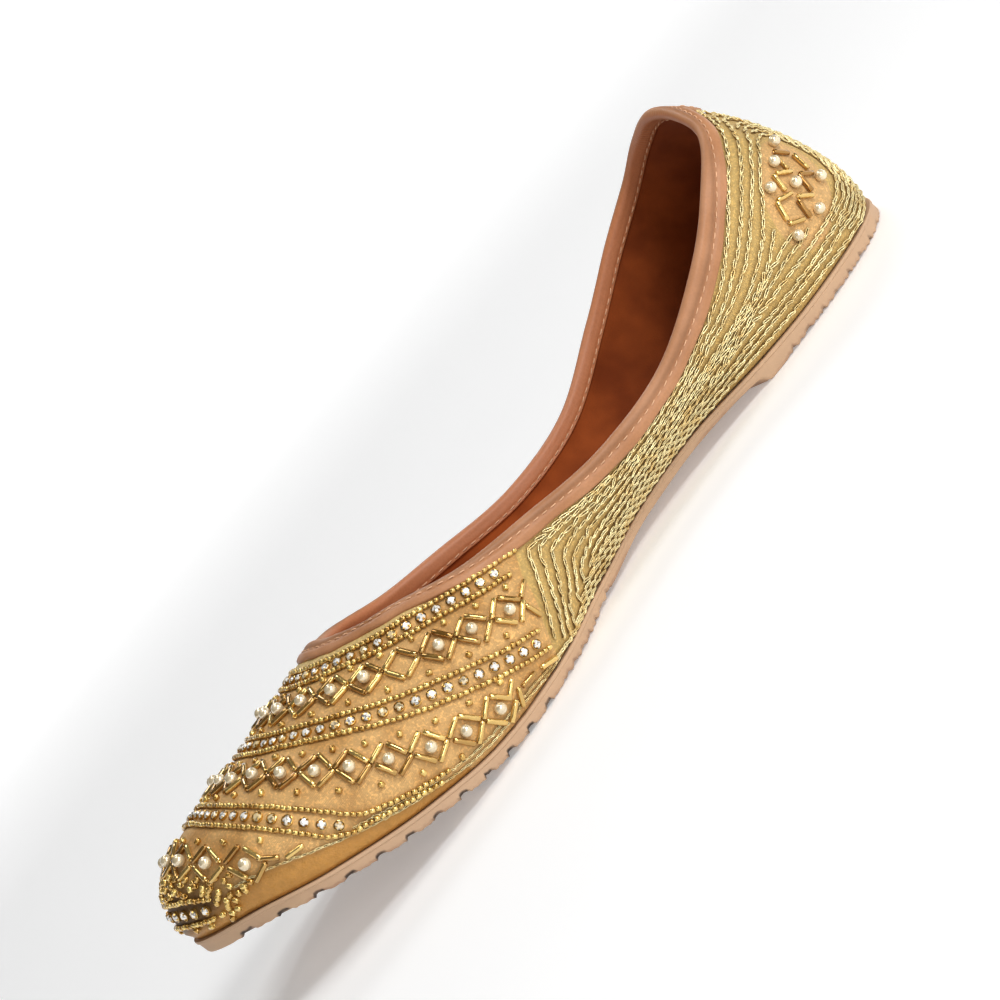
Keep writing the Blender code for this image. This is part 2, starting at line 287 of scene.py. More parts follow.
def place(u, depth, lift=0.0, bare=False):
    # point and outward direction on the cloth, lift in mm
    half, side = fold(u)
    v = shareOf(half, depth)
    normal = wallNormal(half, v)
    high = np.asarray(lift, float) + (0 if bare else relief(u, depth))
    point = wallPoint(half, v) + normal * (high * mm)[..., None]
    point[..., 0] *= side
    normal[..., 0] *= side
    return point, normal


def throughAll(points, t, wanted):
    return np.stack([smoothThrough(t, values, wanted) for values in points.T], 1)


def smoothLine(points, each=1.0):
    # (u, depth) points to a smooth line with a place about every so many mm
    points = np.array(points, float)
    t = lengthAlong(points * (mmPerU, 1))
    return throughAll(points, t, np.linspace(0, t[-1], max(int(t[-1] / each), 4)))


def mirrored(line):
    return (roundU, 0) + np.asarray(line, float) * (-1, 1)


def acrossToe(points):
    # a half row that ends at the middle of the toe, carried over to the other side
    points = np.array(points, float)
    return np.concatenate([points, mirrored(points[points[:, 0] < lastSection])[::-1]])


def evenly(arc, count):
    # middles of that many equal steps
    return (np.arange(count) + 0.5) * (arc[-1] / count)


def walk(line, pitch, lift=0.0):
    # evenly spaced places along a line on the cloth: points, outward, onward
    line = smoothLine(line, 0.5)
    points = place(*line.T)[0]
    arc = lengthAlong(points, mm)
    at = evenly(arc, max(int(round(arc[-1] / pitch)), 1))
    spot, normal = place(*readAlong(at, arc, line).T, lift)
    return spot, normal, squareTo(normal, readAlong(at + 0.4, arc, points) - readAlong(at - 0.4, arc, points))


def gathered(parts):
    return [np.concatenate(values) for values in zip(*parts)]


# ---- meshes ----
def newPiece(name, verts, faces, finishes, smooth=True, sharp=None, **layers):
    mesh = bpy.data.meshes.new(name)
    mesh.from_pydata(np.asarray(verts, float).reshape(-1, 3).tolist(), [], faces)
    obj = bpy.data.objects.new(name, mesh)
    bpy.context.scene.collection.objects.link(obj)
    for finish in finishes:
        mesh.materials.append(finish)
    for layer, values in layers.items():
        kind, field = ("FLOAT_VECTOR", "vector") if layer == "spot" else ("FLOAT", "value")
        mesh.attributes.new(layer, kind, "POINT").data.foreach_set(field, np.asarray(values, float).ravel())
    if smooth:
        mesh.shade_smooth()
        if sharp:
            mesh.set_sharp_from_angle(angle=math.radians(sharp))
    return obj


def gridFaces(rows, columns, closeRows=False, closeColumns=False, flip=False):
    i, j = np.meshgrid(np.arange(rows if closeRows else rows - 1),
                       np.arange(columns if closeColumns else columns - 1), indexing="ij")
    i2, j2 = (i + 1) % rows, (j + 1) % columns
    faces = np.stack([i * columns + j, i * columns + j2, i2 * columns + j2, i2 * columns + j], -1)
    return faces.reshape(-1, 4)[:, ::-1 if flip else 1].tolist()


def circle(sides, turn=0.0):
    return (np.arange(sides) + turn) * 2 * math.pi / sides


def turned(profile, sides, closed=True):
    # solid of revolution about x; profile rows are (x, radius)
    x, radius = np.array(profile, float).T[:, :, None]
    angle = circle(sides)
    verts = np.stack([x + 0 * angle, radius * np.cos(angle), radius * np.sin(angle)], -1).reshape(-1, 3)
    faces = gridFaces(len(profile), sides, closeRows=closed, closeColumns=True)
    if not closed:
        faces += [list(range(sides))[::-1], list(range(len(verts) - sides, len(verts)))]
    return verts, faces


def joined(shapes):
    verts, faces, start = [], [], 0
    for v, f in shapes:
        verts.append(v)
        faces += [[k + start for k in face] for face in f]
        start += len(v)
    return np.concatenate(verts), faces


def strewn(name, shape, spots, outward, onward, finish, size=1.0, ply=None, smooth=True):
    # one small shape, in mm, repeated at every spot and joined into one mesh
    verts, faces = shape
    count, each = len(spots), len(verts)
    axes = np.stack([onward, np.cross(outward, onward), outward], 1)
    placed = spots[:, None] + verts @ axes * (np.broadcast_to(size, count) * mm)[:, None, None]
    faces = [[k + n * each for k in face] for n in range(count) for face in faces]
    layers = {} if ply is None else {"ply": np.tile(ply, count)}
    tone = np.repeat(rng.uniform(0, 1, count), each)
    return newPiece(name, placed, faces, [finish], smooth, tone=tone, **layers)


def leaning(onward, outward, degrees):
    # turns each direction about its outward one
    a = np.radians(degrees)[:, None]
    return onward * np.cos(a) + np.cross(outward, onward) * np.sin(a)


def nearestTo(points):
    # gives the distance in mm from any places to the nearest of the points
    tree = kdtree.KDTree(len(points))
    for n, point in enumerate(points):
        tree.insert(point, n)
    tree.balance()

    def nearest(places):
        found = [tree.find(p)[2] for p in places.reshape(-1, 3)]
        return np.reshape(found, places.shape[:-1]) / mm
    return nearest


def halved(low, high, over):
    # where over becomes true between low and high
    for _ in range(26):
        middle = (low + high) / 2
        far = over(middle)
        low, high = np.where(far, low, middle), np.where(far, middle, high)
    return low


# ---- finishes ----
class Wire:
    # a socket that can be reckoned with
    def __init__(self, finish, socket):
        self.finish, self.socket = finish, socket

    def maths(self, operation, *values):
        return self.finish.node("ShaderNodeMath", {"operation": operation}, dict(enumerate(values)))

    def __add__(self, other):
        return self.maths("ADD", self, other)

    __radd__ = __add__

    def __sub__(self, other):
        return self.maths("SUBTRACT", self, other)

    def __rsub__(self, other):
        return self.maths("SUBTRACT", other, self)

    def __mul__(self, other):
        return self.maths("MULTIPLY", self, other)

    __rmul__ = __mul__

    def sine(self):
        return self.maths("SINE", self)

    def between(self, low, high):
        # 0 below low, 1 above high, eased
        return self.finish.node("ShaderNodeMapRange", {"interpolation_type": "SMOOTHSTEP"},
                                {0: self, 1: low, 2: high, 3: 0.0, 4: 1.0})


class Finish:
    # one material with its nodes
    def __init__(self, name, colour, roughness, **shaderValues):
        self.material = bpy.data.materials.new(name)
        self.material.use_nodes = True
        self.material.diffuse_color = (*colour, 1)
        self.tree = self.material.node_tree
        self.shader = self.tree.nodes["Principled BSDF"]
        self.feed(Base_Color=colour, Roughness=roughness, **shaderValues)

    def put(self, socket, value):
        if isinstance(value, Wire):
            self.tree.links.new(value.socket, socket)
        elif socket.type == "RGBA":
            socket.default_value = (*value, 1)
        else:
            socket.default_value = value

    def feed(self, **values):
        # the shader's own sockets, with _ for a space
        for socket, value in values.items():
            self.put(self.shader.inputs[socket.replace("_", " ")], value)

    def node(self, kind, settings, sockets, out=0):
        node = self.tree.nodes.new(kind)
        for key, value in settings.items():
            setattr(node, key, value)
        for key, value in sockets.items():
            self.put(node.inputs[key], value)
        return Wire(self, node.outputs[out])

    def layer(self, name, out=2):
        return self.node("ShaderNodeAttribute", {"attribute_name": name}, {}, out)

    def place(self):
        return self.node("ShaderNodeTexCoord", {}, {}, out=3)

    def part(self, vector, axis):
        return self.node("ShaderNodeSeparateXYZ", {}, {0: vector}, axis)

    def noise(self, scale, detail=2.0, where=None):
        return self.node("ShaderNodeTexNoise", {}, {"Vector": where or self.place(), "Scale": scale,
                                                    "Detail": detail})

    def cells(self, scale):
        return self.node("ShaderNodeTexVoronoi", {}, {"Vector": self.place(), "Scale": scale})

    def blend(self, share, first, second):
        return self.node("ShaderNodeMix", {"data_type": "RGBA"}, {0: share, 6: first, 7: second}, out=2)

    def shaded(self, colour, factor):
        return self.node("ShaderNodeVectorMath", {"operation": "SCALE"}, {0: colour, "Scale": factor})

    def made(self, colour, shade, height, distance, **values):
        # the colour made lighter or darker by shade, over bumps that many mm high
        bump = self.node("ShaderNodeBump", {}, {"Height": height, "Distance": distance * mm, "Strength": 1.0})
        self.feed(Base_Color=self.shaded(colour, shade), Normal=bump, **values)
        return self.material


def srgb(red, green, blue):
    # colour as seen on the screen, 0 to 255, to the shader's own scale
    return tuple(c / 12.92 if c <= 0.04045 else ((c + 0.055) / 1.055)**2.4
                 for c in (red / 255, green / 255, blue / 255))


clothLook = dict(quarter=srgb(200, 166, 98), vamp=srgb(216, 171, 107), vampDark=srgb(190, 141, 77),
                 rim=srgb(196, 141, 68), strip=srgb(226, 196, 128), motif=srgb(213, 170, 110),
                 dirtAndShade=srgb(96, 66, 26), threadPitch=0.42, threadHeight=0.06, pressed=0.24,
                 edges=dict(vampEdge=0.25, rimEdge=0.3, stripEdge=0.3, motifEdge=0.4))   # half widths in mm


def clothFinish():
    look = clothLook
    f = Finish("gold_brocade", look["quarter"], 0.5)
    spot = f.layer("spot", out=1)
    along, down = f.part(spot, 0), f.part(spot, 1)
    vamp, rim, strip, heart = (f.layer(edge).between(-soft, soft) for edge, soft in look["edges"].items())
    # two masks of painted shade: beside the stitched lines, and at the toe tip
    pressed, toe = f.layer("pressed"), f.layer("toeShade")
    cloudy, speckle, fine = f.noise(90, 3), f.noise(650, 3), f.noise(2400, 2)
    # flecks of metal yarn: they shine more, and their lighter colour is a painted glint
    flecksAndGlints = f.noise(1500, 3).between(0.50, 0.62)
    panel = f.blend(cloudy.between(0.42, 0.72), look["vamp"], look["vampDark"])
    colour = f.blend(vamp, look["quarter"], panel)
    for share, over in ((heart, "motif"), (strip, "strip"), (rim, "rim")):
        colour = f.blend(share, colour, look[over])
    # the toe tip darkened, patchy with the speckle: painted shade with some soil
    colour = f.blend(toe * (0.75 + 0.5 * speckle), colour, look["dirtAndShade"])
    # warp and weft cross in small bumps, finer on the satin rim
    turn = 2 * math.pi / look["threadPitch"]
    weave = (along * turn).sine() * (down * turn).sine() * 0.5 + 0.5
    slub = f.noise(1.0, 2, f.node("ShaderNodeCombineXYZ", {}, {0: along * 0.35, 1: down * 3.2, 2: 0.0}))
    shade = (0.42 + (0.14 * weave + 0.32 * flecksAndGlints) * (1 - rim) + 0.10 * rim + 0.14 * slub + 0.40 * speckle
             + 0.24 * fine)
    high = weave * (1 - 0.7 * rim) + slub * 0.8 + fine * 0.8 + flecksAndGlints * 0.6
    # the cloth beside the stitched lines is darkened here: painted shade
    return f.made(colour, shade * (1 - look["pressed"] * pressed), high, look["threadHeight"],
                  Roughness=0.52 - 0.16 * rim - 0.08 * strip + 0.12 * slub,
                  Metallic=0.10 + 0.22 * rim + 0.08 * (1 - vamp) + 0.20 * flecksAndGlints)


def suedeFinish(name, colour, dark, paintedForeLight=0.0):
    f = Finish(name, colour, 0.92, Sheen_Weight=0.06, Sheen_Roughness=0.5, Specular_IOR_Level=0.12)
    brushed, nap, patch = f.noise(260, 4), f.noise(2600, 2), f.noise(45, 3)
    shade = f.blend(patch.between(0.38, 0.66), colour, dark)
    # painted light and shade: the lining is made paler towards the forepart, darker towards the heel
    fore = f.part(f.place(), 1).between(0.075, 0.0)      # the forepart is paler
    return f.made(shade, 0.76 + 0.30 * brushed + 0.12 * nap + paintedForeLight * fore, nap + brushed * 1.5, 0.06,
                  Roughness=0.84 + 0.12 * nap)


def leatherFinish(name, colour, pale, grain=1500, gloss=0.42, inner=None):
    f = Finish(name, colour, gloss, Coat_Weight=0.05, Coat_Roughness=0.4, Specular_IOR_Level=0.36)
    pores, patch, rub = f.cells(grain), f.noise(60, 3), f.noise(500, 3)
    shade = f.blend(patch.between(0.35, 0.7), colour, pale)
    high = pores * 0.7 + rub
    if inner:
        # the leg inside the shoe, the pleats round the heel and the crease where it is sewn; the pleats'
        # light and dark stripes and the darker crease are painted shade
        shade = f.blend(f.layer("inward"), shade, inner)
        pleat = (f.layer("along") * 5.2 + rub * 4.0).sine() * f.layer("curl")
        high = high + 1.6 * pleat
        # painted shade: the pleats striped lighter and darker, the sewn crease darker
        shade = f.shaded(shade, 1.0 + 0.10 * pleat - 0.28 * f.layer("sewn"))
    return f.made(shade, 0.86 + 0.16 * rub + 0.10 * pores, high, 0.045, Roughness=gloss + 0.22 * rub - 0.04)


def rubberFinish():
    # the near-black colour is painted shade for the cuts of the tread
    colour, grey, dirt = srgb(192, 158, 126), srgb(146, 108, 84), srgb(50, 38, 30)
    f = Finish("sole_rubber", colour, 0.62, Specular_IOR_Level=0.4)
    speck, patch, scuff = f.noise(2200, 2), f.noise(70, 4), f.noise(420, 4)
    # the lower edge greyed by dirt in patches
    dirtAndShade = f.layer("lowness") * patch.between(0.35, 0.75) * 0.7
    # painted shade in the cuts, over the dirty lower edge
    worn = f.blend(f.layer("grime") * (0.45 + scuff), f.blend(dirtAndShade, colour, grey), dirt)
    return f.made(worn, 0.90 + 0.10 * scuff + 0.08 * speck, speck * 0.5 + scuff, 0.05,
                  Roughness=0.55 + 0.2 * scuff)


def threadFinish(name, colour):
    f = Finish(name, colour, 0.6)
    ply = f.noise(6000, 1)
    return f.made(colour, 0.75 + 0.22 * f.layer("tone") + 0.24 * ply, ply, 0.05, Roughness=0.52 + 0.16 * ply)


def zariFinish():
    # gilt wire coiled round a thread; the dark sheet in each loop's eye is painted shade
    bright, deep, shade = srgb(255, 242, 188), srgb(214, 174, 96), srgb(118, 88, 38)
    f = Finish("zari_thread", bright, 0.28)
    tone, ply, worn = f.layer("tone"), f.layer("ply"), f.noise(300, 3)
    # the coil's turns are painted as lighter and darker bands: painted highlight over gilt worn in patches
    turns = (ply * 9.5 + tone * 6.0).sine() * 0.5 + 0.5
    wire = ply.between(-8, -6)
    gilt = f.blend(worn.between(0.4, 0.7) * 0.6 + turns * 0.3, bright, deep)
    return f.made(f.blend(wire, shade, gilt), 0.88 + 0.24 * tone, turns * wire, 0.03, Metallic=wire * 0.5,
                  Roughness=0.62 - wire * (0.42 - 0.12 * turns))


def beadFinish(name, colour, deep, metal, roughness, coat=0.8):
    f = Finish(name, colour, roughness, Metallic=metal, Coat_Weight=coat, Coat_Roughness=0.05)
    swirl = f.noise(900, 2)
    return f.made(f.blend(f.layer("tone"), colour, deep), 0.93 + 0.14 * swirl, swirl, 0.02,
                  Roughness=roughness - 0.04 + 0.12 * swirl)


def pearlFinish():
    cream, rose = srgb(240, 222, 184), srgb(216, 188, 138)
    f = Finish("pearl_coat", cream, 0.3, Metallic=0.35, Coat_Weight=1.0, Coat_Roughness=0.04, Coat_IOR=2.0,
               Specular_IOR_Level=0.7)
    bloom = f.noise(420, 3)
    return f.made(f.blend(bloom.between(0.4, 0.7) * 0.7, cream, rose), 0.9 + 0.12 * f.layer("tone"), bloom,
                  0.02, Roughness=0.16 + 0.14 * bloom)


def crystalFinish():
    clear, smoky = srgb(246, 243, 236), srgb(214, 184, 116)
    f = Finish("clear_crystal", clear, 0.04, Metallic=0.2, Coat_Weight=1.0, Coat_Roughness=0.02)
    tone, inner = f.layer("tone"), f.noise(1500, 1)
    tint = f.blend(tone.between(0.55, 0.95) * 0.8, clear, smoky)
    # painted reflections: the bright and dark patches in the colour stand in for the facets' glints
    f.feed(Base_Color=f.shaded(tint, 0.30 + 0.72 * inner.between(0.38, 0.5) + 0.1 * tone),
           Roughness=0.03 + 0.05 * inner)
    return f.material


cloth, zari = clothFinish(), zariFinish()
seedGold = beadFinish("gold_seed_glass", srgb(250, 218, 130), srgb(190, 142, 60), 0.7, 0.18)
bugleGold = beadFinish("silver_lined_bugle_glass", srgb(240, 204, 122), srgb(164, 116, 46), 0.8, 0.14)
brass = beadFinish("brass_cup", srgb(226, 188, 108), srgb(186, 142, 66), 0.9, 0.22, 0.3)
suede = suedeFinish("suede_lining", srgb(136, 64, 25), srgb(108, 46, 15), 0.45)
insoleSuede = suedeFinish("insole_suede", srgb(172, 90, 48), srgb(150, 74, 36))
leather = leatherFinish("binding_leather", srgb(168, 115, 76), srgb(186, 132, 93), inner=srgb(188, 120, 80))
tabLeather = leatherFinish("tab_leather", srgb(156, 112, 80), srgb(172, 128, 94), 1900, 0.46)
creamThread = threadFinish("cream_thread", srgb(218, 172, 134))
brownThread = threadFinish("brown_thread", srgb(120, 52, 26))
pearl, crystal, rubber = pearlFinish(), crystalFinish(), rubberFinish()
print("finishes made")


# ---- the embroidery's lines: u and depth in mm, drawn for one side ----
zariLines = [
    # long loops that start at the beaded panel, follow the collar, frame the heel and come back
    [(7.84, 26.8), (7.74, 22.2), (7.62, 17.5), (7.48, 13.2), (7.34, 9.2), (7.26, 7), (7.16, 6.2), (6.95, 6),
     (6.66, 5.7), (6.3, 5.3), (6, 4.9), (5.5, 4.6), (5, 4.8), (4.5, 5.9), (4, 7.3), (3.4, 6.5), (2.66, 5.4),
     (1.8, 5), (1.2, 5.4), (0.74, 8), (0.58, 16), (0.58, 28), (0.68, 42), (1.1, 50), (1.7, 47.4),
     (2.32, 41.6), (2.82, 36.6), (3.26, 32.6), (3.68, 28.6), (4.04, 25.2), (4.5, 21.6), (5, 19.8), (6, 21.6),
     (6.6, 23.4), (7.1, 25.2), (7.6, 27.4), (8, 29.3)],
    [(7.74, 27), (7.66, 23), (7.58, 19.8), (7.46, 16.2), (7.3, 12.2), (7.2, 9.6), (7.1, 8.4), (6.95, 7.9),
     (6.66, 7.2), (6.3, 6.7), (6, 6.4), (5.5, 6.1), (5, 6.3), (4.55, 7.4), (4.08, 9.6), (3.4, 10),
     (2.56, 8.8), (1.9, 8.3), (1.35, 9.4), (1, 13), (0.84, 20), (0.84, 30), (0.95, 40), (1.3, 45.6),
     (1.9, 42.6), (2.4, 38), (2.9, 33.5), (3.4, 28.8), (3.9, 24.2), (4.4, 20.4), (5, 18.2), (6, 19.8),
     (6.5, 21), (7, 22.8), (7.4, 25.2), (7.55, 26.6)],
    [(7.6, 27.2), (7.56, 22.8), (7.42, 19.2), (7.28, 15.8), (7.16, 12.6), (7.06, 11), (6.92, 9.9),
     (6.64, 8.8), (6.3, 8), (6, 7.6), (5.5, 7.3), (5, 7.6), (4.5, 9.2), (4.1, 11.3), (3.5, 12.7), (2.8, 12.1),
     (2.2, 11.3), (1.65, 12.2), (1.28, 16), (1.12, 23), (1.12, 31), (1.26, 38.4), (1.6, 41), (2.1, 38.2),
     (2.6, 34.2), (3.1, 30), (3.6, 25.2), (4.1, 20.8), (5, 16.6), (6, 18.1), (6.4, 18.8), (6.8, 20),
     (7.1, 21.6), (7.28, 23), (7.35, 22.4), (7.32, 20.8), (7.22, 17.8), (7.13, 15.2), (7.04, 13.6),
     (6.9, 12.3), (6.64, 10.8), (6.3, 9.8), (6, 9.1), (5.5, 8.7), (5, 8.9), (4.5, 11.6), (4.04, 14.6),
     (3.6, 16), (3.2, 16.2), (2.8, 15.2), (2.35, 13.5), (1.9, 13.9), (1.55, 17), (1.4, 24), (1.42, 31.5),
     (1.66, 36.6), (2.1, 35.2), (2.6, 31.5), (3, 28.1), (3.4, 24.2), (3.9, 19.9), (4.5, 16.4), (5, 14.9),
     (6, 16.4), (6.5, 17.3), (6.85, 18.9), (7.06, 20.7), (7.15, 20.3), (7.13, 18.7), (7.06, 17), (6.92, 15.2),
     (6.64, 13), (6.3, 11.7), (6, 10.9), (5.5, 10.2), (5, 10.3), (4.4, 13.2), (3.84, 16.8), (3.52, 18.4),
     (3.2, 19.1), (2.96, 18.9)],
    [(2.84, 24), (3.14, 21.6), (3.44, 19.9), (3.88, 17.4), (4.3, 14.9), (5, 11.8), (5.6, 11.9), (6.2, 13),
     (6.6, 15), (6.86, 17.1), (6.94, 18.4), (6.8, 18), (6.5, 16.4), (6.2, 15), (5.6, 13.6), (5, 13.3),
     (4.4, 15.9), (3.84, 18.9), (3.46, 21.4), (3.06, 24.6), (2.86, 26.6), (2.66, 28.2)],
    # a row along the sole
    [(8.1, 29.6), (7.8, 28.4), (7.4, 27), (7, 25.6)],
    # closer rows behind the heel's motif
    [(1.5, 6.9), (1.28, 7.4), (0.88, 10.5), (0.71, 18), (0.71, 29), (0.82, 41), (1.2, 47.6), (1.8, 45),
     (2.2, 41.2)],
    [(1.55, 11), (1.32, 12.7), (1.06, 18), (0.98, 26), (0.98, 31), (1.1, 39), (1.45, 43.3), (2, 40.4),
     (2.3, 37.6)],
    [(1.58, 14.6), (1.42, 16.5), (1.26, 23.5), (1.27, 31.3), (1.46, 37.6), (1.8, 38.6), (2.1, 36.7),
     (2.35, 34.7)],
    [(0.98, 6.1), (0.62, 8.2), (0.46, 12), (0.44, 18), (0.44, 28), (0.52, 42), (0.74, 49)],
    [(0.3, 15.6), (0.3, 28), (0.36, 42), (0.48, 49.4)],
    [(0.15, 15.8), (0.15, 28), (0.18, 40), (0.24, 50)],
    # beside the beaded panel
    [(6.15, 4.5), (6.45, 4.6), (6.75, 4.6), (7, 4.7), (7.2, 4.9), (7.33, 5.4), (7.42, 7.5), (7.56, 11.5),
     (7.7, 15.8), (7.84, 20.8), (7.93, 25.4)],
]
featherLines = [
    [(7.95, 28.9), (8.4, 32.4), (9, 39.7), (9.5, 44.8), (10, 49.8), (10.2, 52)],
    [(8, 30), (8.5, 34.6), (9, 41), (9.5, 46.2), (10, 51.4), (10.5, 56.6), (10.9, 61), (11.2, 65)],
]
# each beaded band: upper row of seeds, lower row, stones midway
BandRow = namedtuple("BandRow", "name upper lower stones")
bands = [
    BandRow("throat band",
            [(7.42, 3.4), (7.7, 2.9), (8, 2.9), (8.5, 3.6), (9, 4.6), (10, 5.9), (11, 6.9), (12, 7.5)],
            [(7.72, 7.4), (8, 7.1), (8.5, 7.6), (9, 8.8), (10, 10.2), (11, 11.5), (12, 12.1)],
            [(7.75, 5.1), (8, 5), (8.5, 5.6), (9, 6.7), (10, 8.1), (11, 9.2), (12, 9.8)]),
    BandRow("upper vamp band",
            [(8, 21.5), (8.5, 21.9), (9, 22.5), (10, 24.3), (11, 25.5), (12, 26)],
            [(8.02, 26.3), (8.5, 26.8), (9, 27.5), (10, 29.3), (11, 30.5), (12, 31)],
            [(8.05, 24), (8.5, 24.3), (9, 25), (10, 26.8), (11, 28), (12, 28.5)]),
    BandRow("lower vamp band",
            [(10.08, 49), (10.3, 47.6), (10.6, 46.7), (11, 46.2), (11.5, 45.6), (12, 45.2)],
            [(10.24, 53.4), (10.36, 53.6), (10.55, 52.3), (11, 51.3), (11.5, 50.7), (12, 50.3)],
            [(10.22, 51.3), (10.4, 50.4), (10.6, 49.6), (11, 48.8), (11.5, 48.2), (12, 47.8)]),
    BandRow("toe band",
            [(11.42, 67.6), (11.6, 68), (11.8, 68.8), (12, 69.2)],
            [(11.5, 72.6), (11.65, 73.6), (11.8, 74.2), (12, 74.4)],
            [(11.47, 70), (11.6, 70.8), (11.8, 71.4), (12, 71.7)]),
]
tailRows = [   # seed rows that run back along the featherline
    [(9.35, 42.9), (9.6, 45), (9.85, 47.2), (10.08, 49)],
    [(9.45, 45.3), (9.8, 48.4), (10.1, 51.6), (10.24, 53.4)],
]
# rows of bugle diamonds: line through the crossings, and the u of each pearl; bare ones have no pearl
DiamondRow = namedtuple("DiamondRow", "name line pearls bare")
diamondRows = [
    DiamondRow("upper", [(7.9, 14.1), (8.1, 14.2), (8.8, 14.8), (9.3, 15.8), (9.75, 16.4), (10.3, 17.2),
                         (11, 18.4), (12, 19.6)],
               (8.08, 8.46, 8.83, 9.27, 9.73, 10.25, 10.84, 11.42, 12), 3),
    DiamondRow("middle", [(8.4, 31.6), (8.74, 33.8), (9.06, 35.4), (9.4, 36.6), (9.7, 37.4), (10, 38),
                          (10.5, 38.2), (11, 38.2), (12, 38.8)],
               (8.74, 9.06, 9.37, 9.68, 10, 10.32, 10.7, 11.08, 11.45, 11.82), -1),
    DiamondRow("lower", [(10.7, 58.6), (11, 59.4), (11.35, 59.8), (11.65, 59.8), (12, 59.8)],
               (11.02, 11.35, 11.67, 12), -1),
]
looseBugles = [   # ends in u and depth, beside the rows
    ((7.7, 10.4), (7.9, 13.2)), ((7.93, 15.2), (7.9, 19.2)), ((8.04, 29.2), (8.26, 29)),
    ((8.3, 29.4), (8.46, 31.2)), ((8.52, 31.4), (8.56, 34.6)), ((8.5, 28.6), (8.62, 32)),
    ((10.56, 55), (10.72, 58)), ((10.74, 58), (10.92, 58.4))]
toeBeads = [   # loose gold beads round the toe's own band
    (11.4, 65.6), (11.27, 67), (11.34, 69.4), (11.22, 64.6), (11.14, 66), (11.36, 71.8), (11.46, 66.2),
    (11.56, 65.4), (11.7, 66.6), (11.84, 67.2), (11.93, 66), (11.3, 62.8), (11.52, 64), (11.66, 64.6),
    (11.8, 65.2), (11.96, 64.4), (11.06, 63.8), (11.18, 62), (11.58, 74.6), (11.74, 75.2), (11.13, 64.9),
    (11.24, 63.3), (11.36, 63.9), (11.44, 65.1), (11.6, 63.5), (11.64, 66.9), (11.76, 66.3), (11.86, 63.3),
    (11.74, 63.6), (11.33, 66), (11.36, 67.3), (11.32, 68.3), (11.4, 68.7), (11.38, 65.2), (11.42, 66.5),
    (11.43, 71.9), (11.35, 70.1), (11.26, 68.4), (11.3, 70.8), (11.4, 73.4), (11.2, 66.6), (11.47, 63.2),
    (11.93, 68)]
heelPearls = [(2.52, 16.2), (2.14, 16.8), (1.76, 18.4), (2.27, 22.8), (1.92, 30.2), (2.38, 30), (2.84, 25.6)]
heelBugles = [
    ((2.01, 17.4), (2.12, 21)), ((2.31, 16.7), (2.43, 20.7)), ((2.62, 18.2), (2.76, 22)),
    ((1.8, 23), (1.92, 27.2)), ((2.12, 23.2), (2.22, 27.8)), ((2.43, 23.8), (2.54, 28.2)),
    ((1.94, 18), (1.84, 21.6)), ((2.26, 18), (2.13, 21.6)), ((2.58, 18.8), (2.44, 21.8)),
    ((2.1, 24.4), (1.96, 28)), ((2.4, 24), (2.26, 28)), ((2.78, 22.4), (2.6, 26.6))]
print("charts drawn")


# ---- upper ----
# the last four values place painted shade: its width beside the stitched lines, and its reach in u, in depth
# and against the rim at the toe tip
upperLook = dict(columns=26, rowsDown=70, rowsInside=26, stitchPull=0.20, pullWidth=0.9, swell=0.45,
                 swellAt=2.2, swellWidth=1.3, pared=(5, 16), stitchShadeWidth=0.95, dirtAndShadeU=(10.9, 11.5),
                 dirtAndShadeDepth=(58, 70), dirtAndShadeRim=(4.5, -0.5))


def wallThick(depth):
    # the wall is pared down towards the topline, in mm
    return (last["skived"] + (last["wall"] - last["skived"]) * step(depth, *upperLook["pared"])) / mm


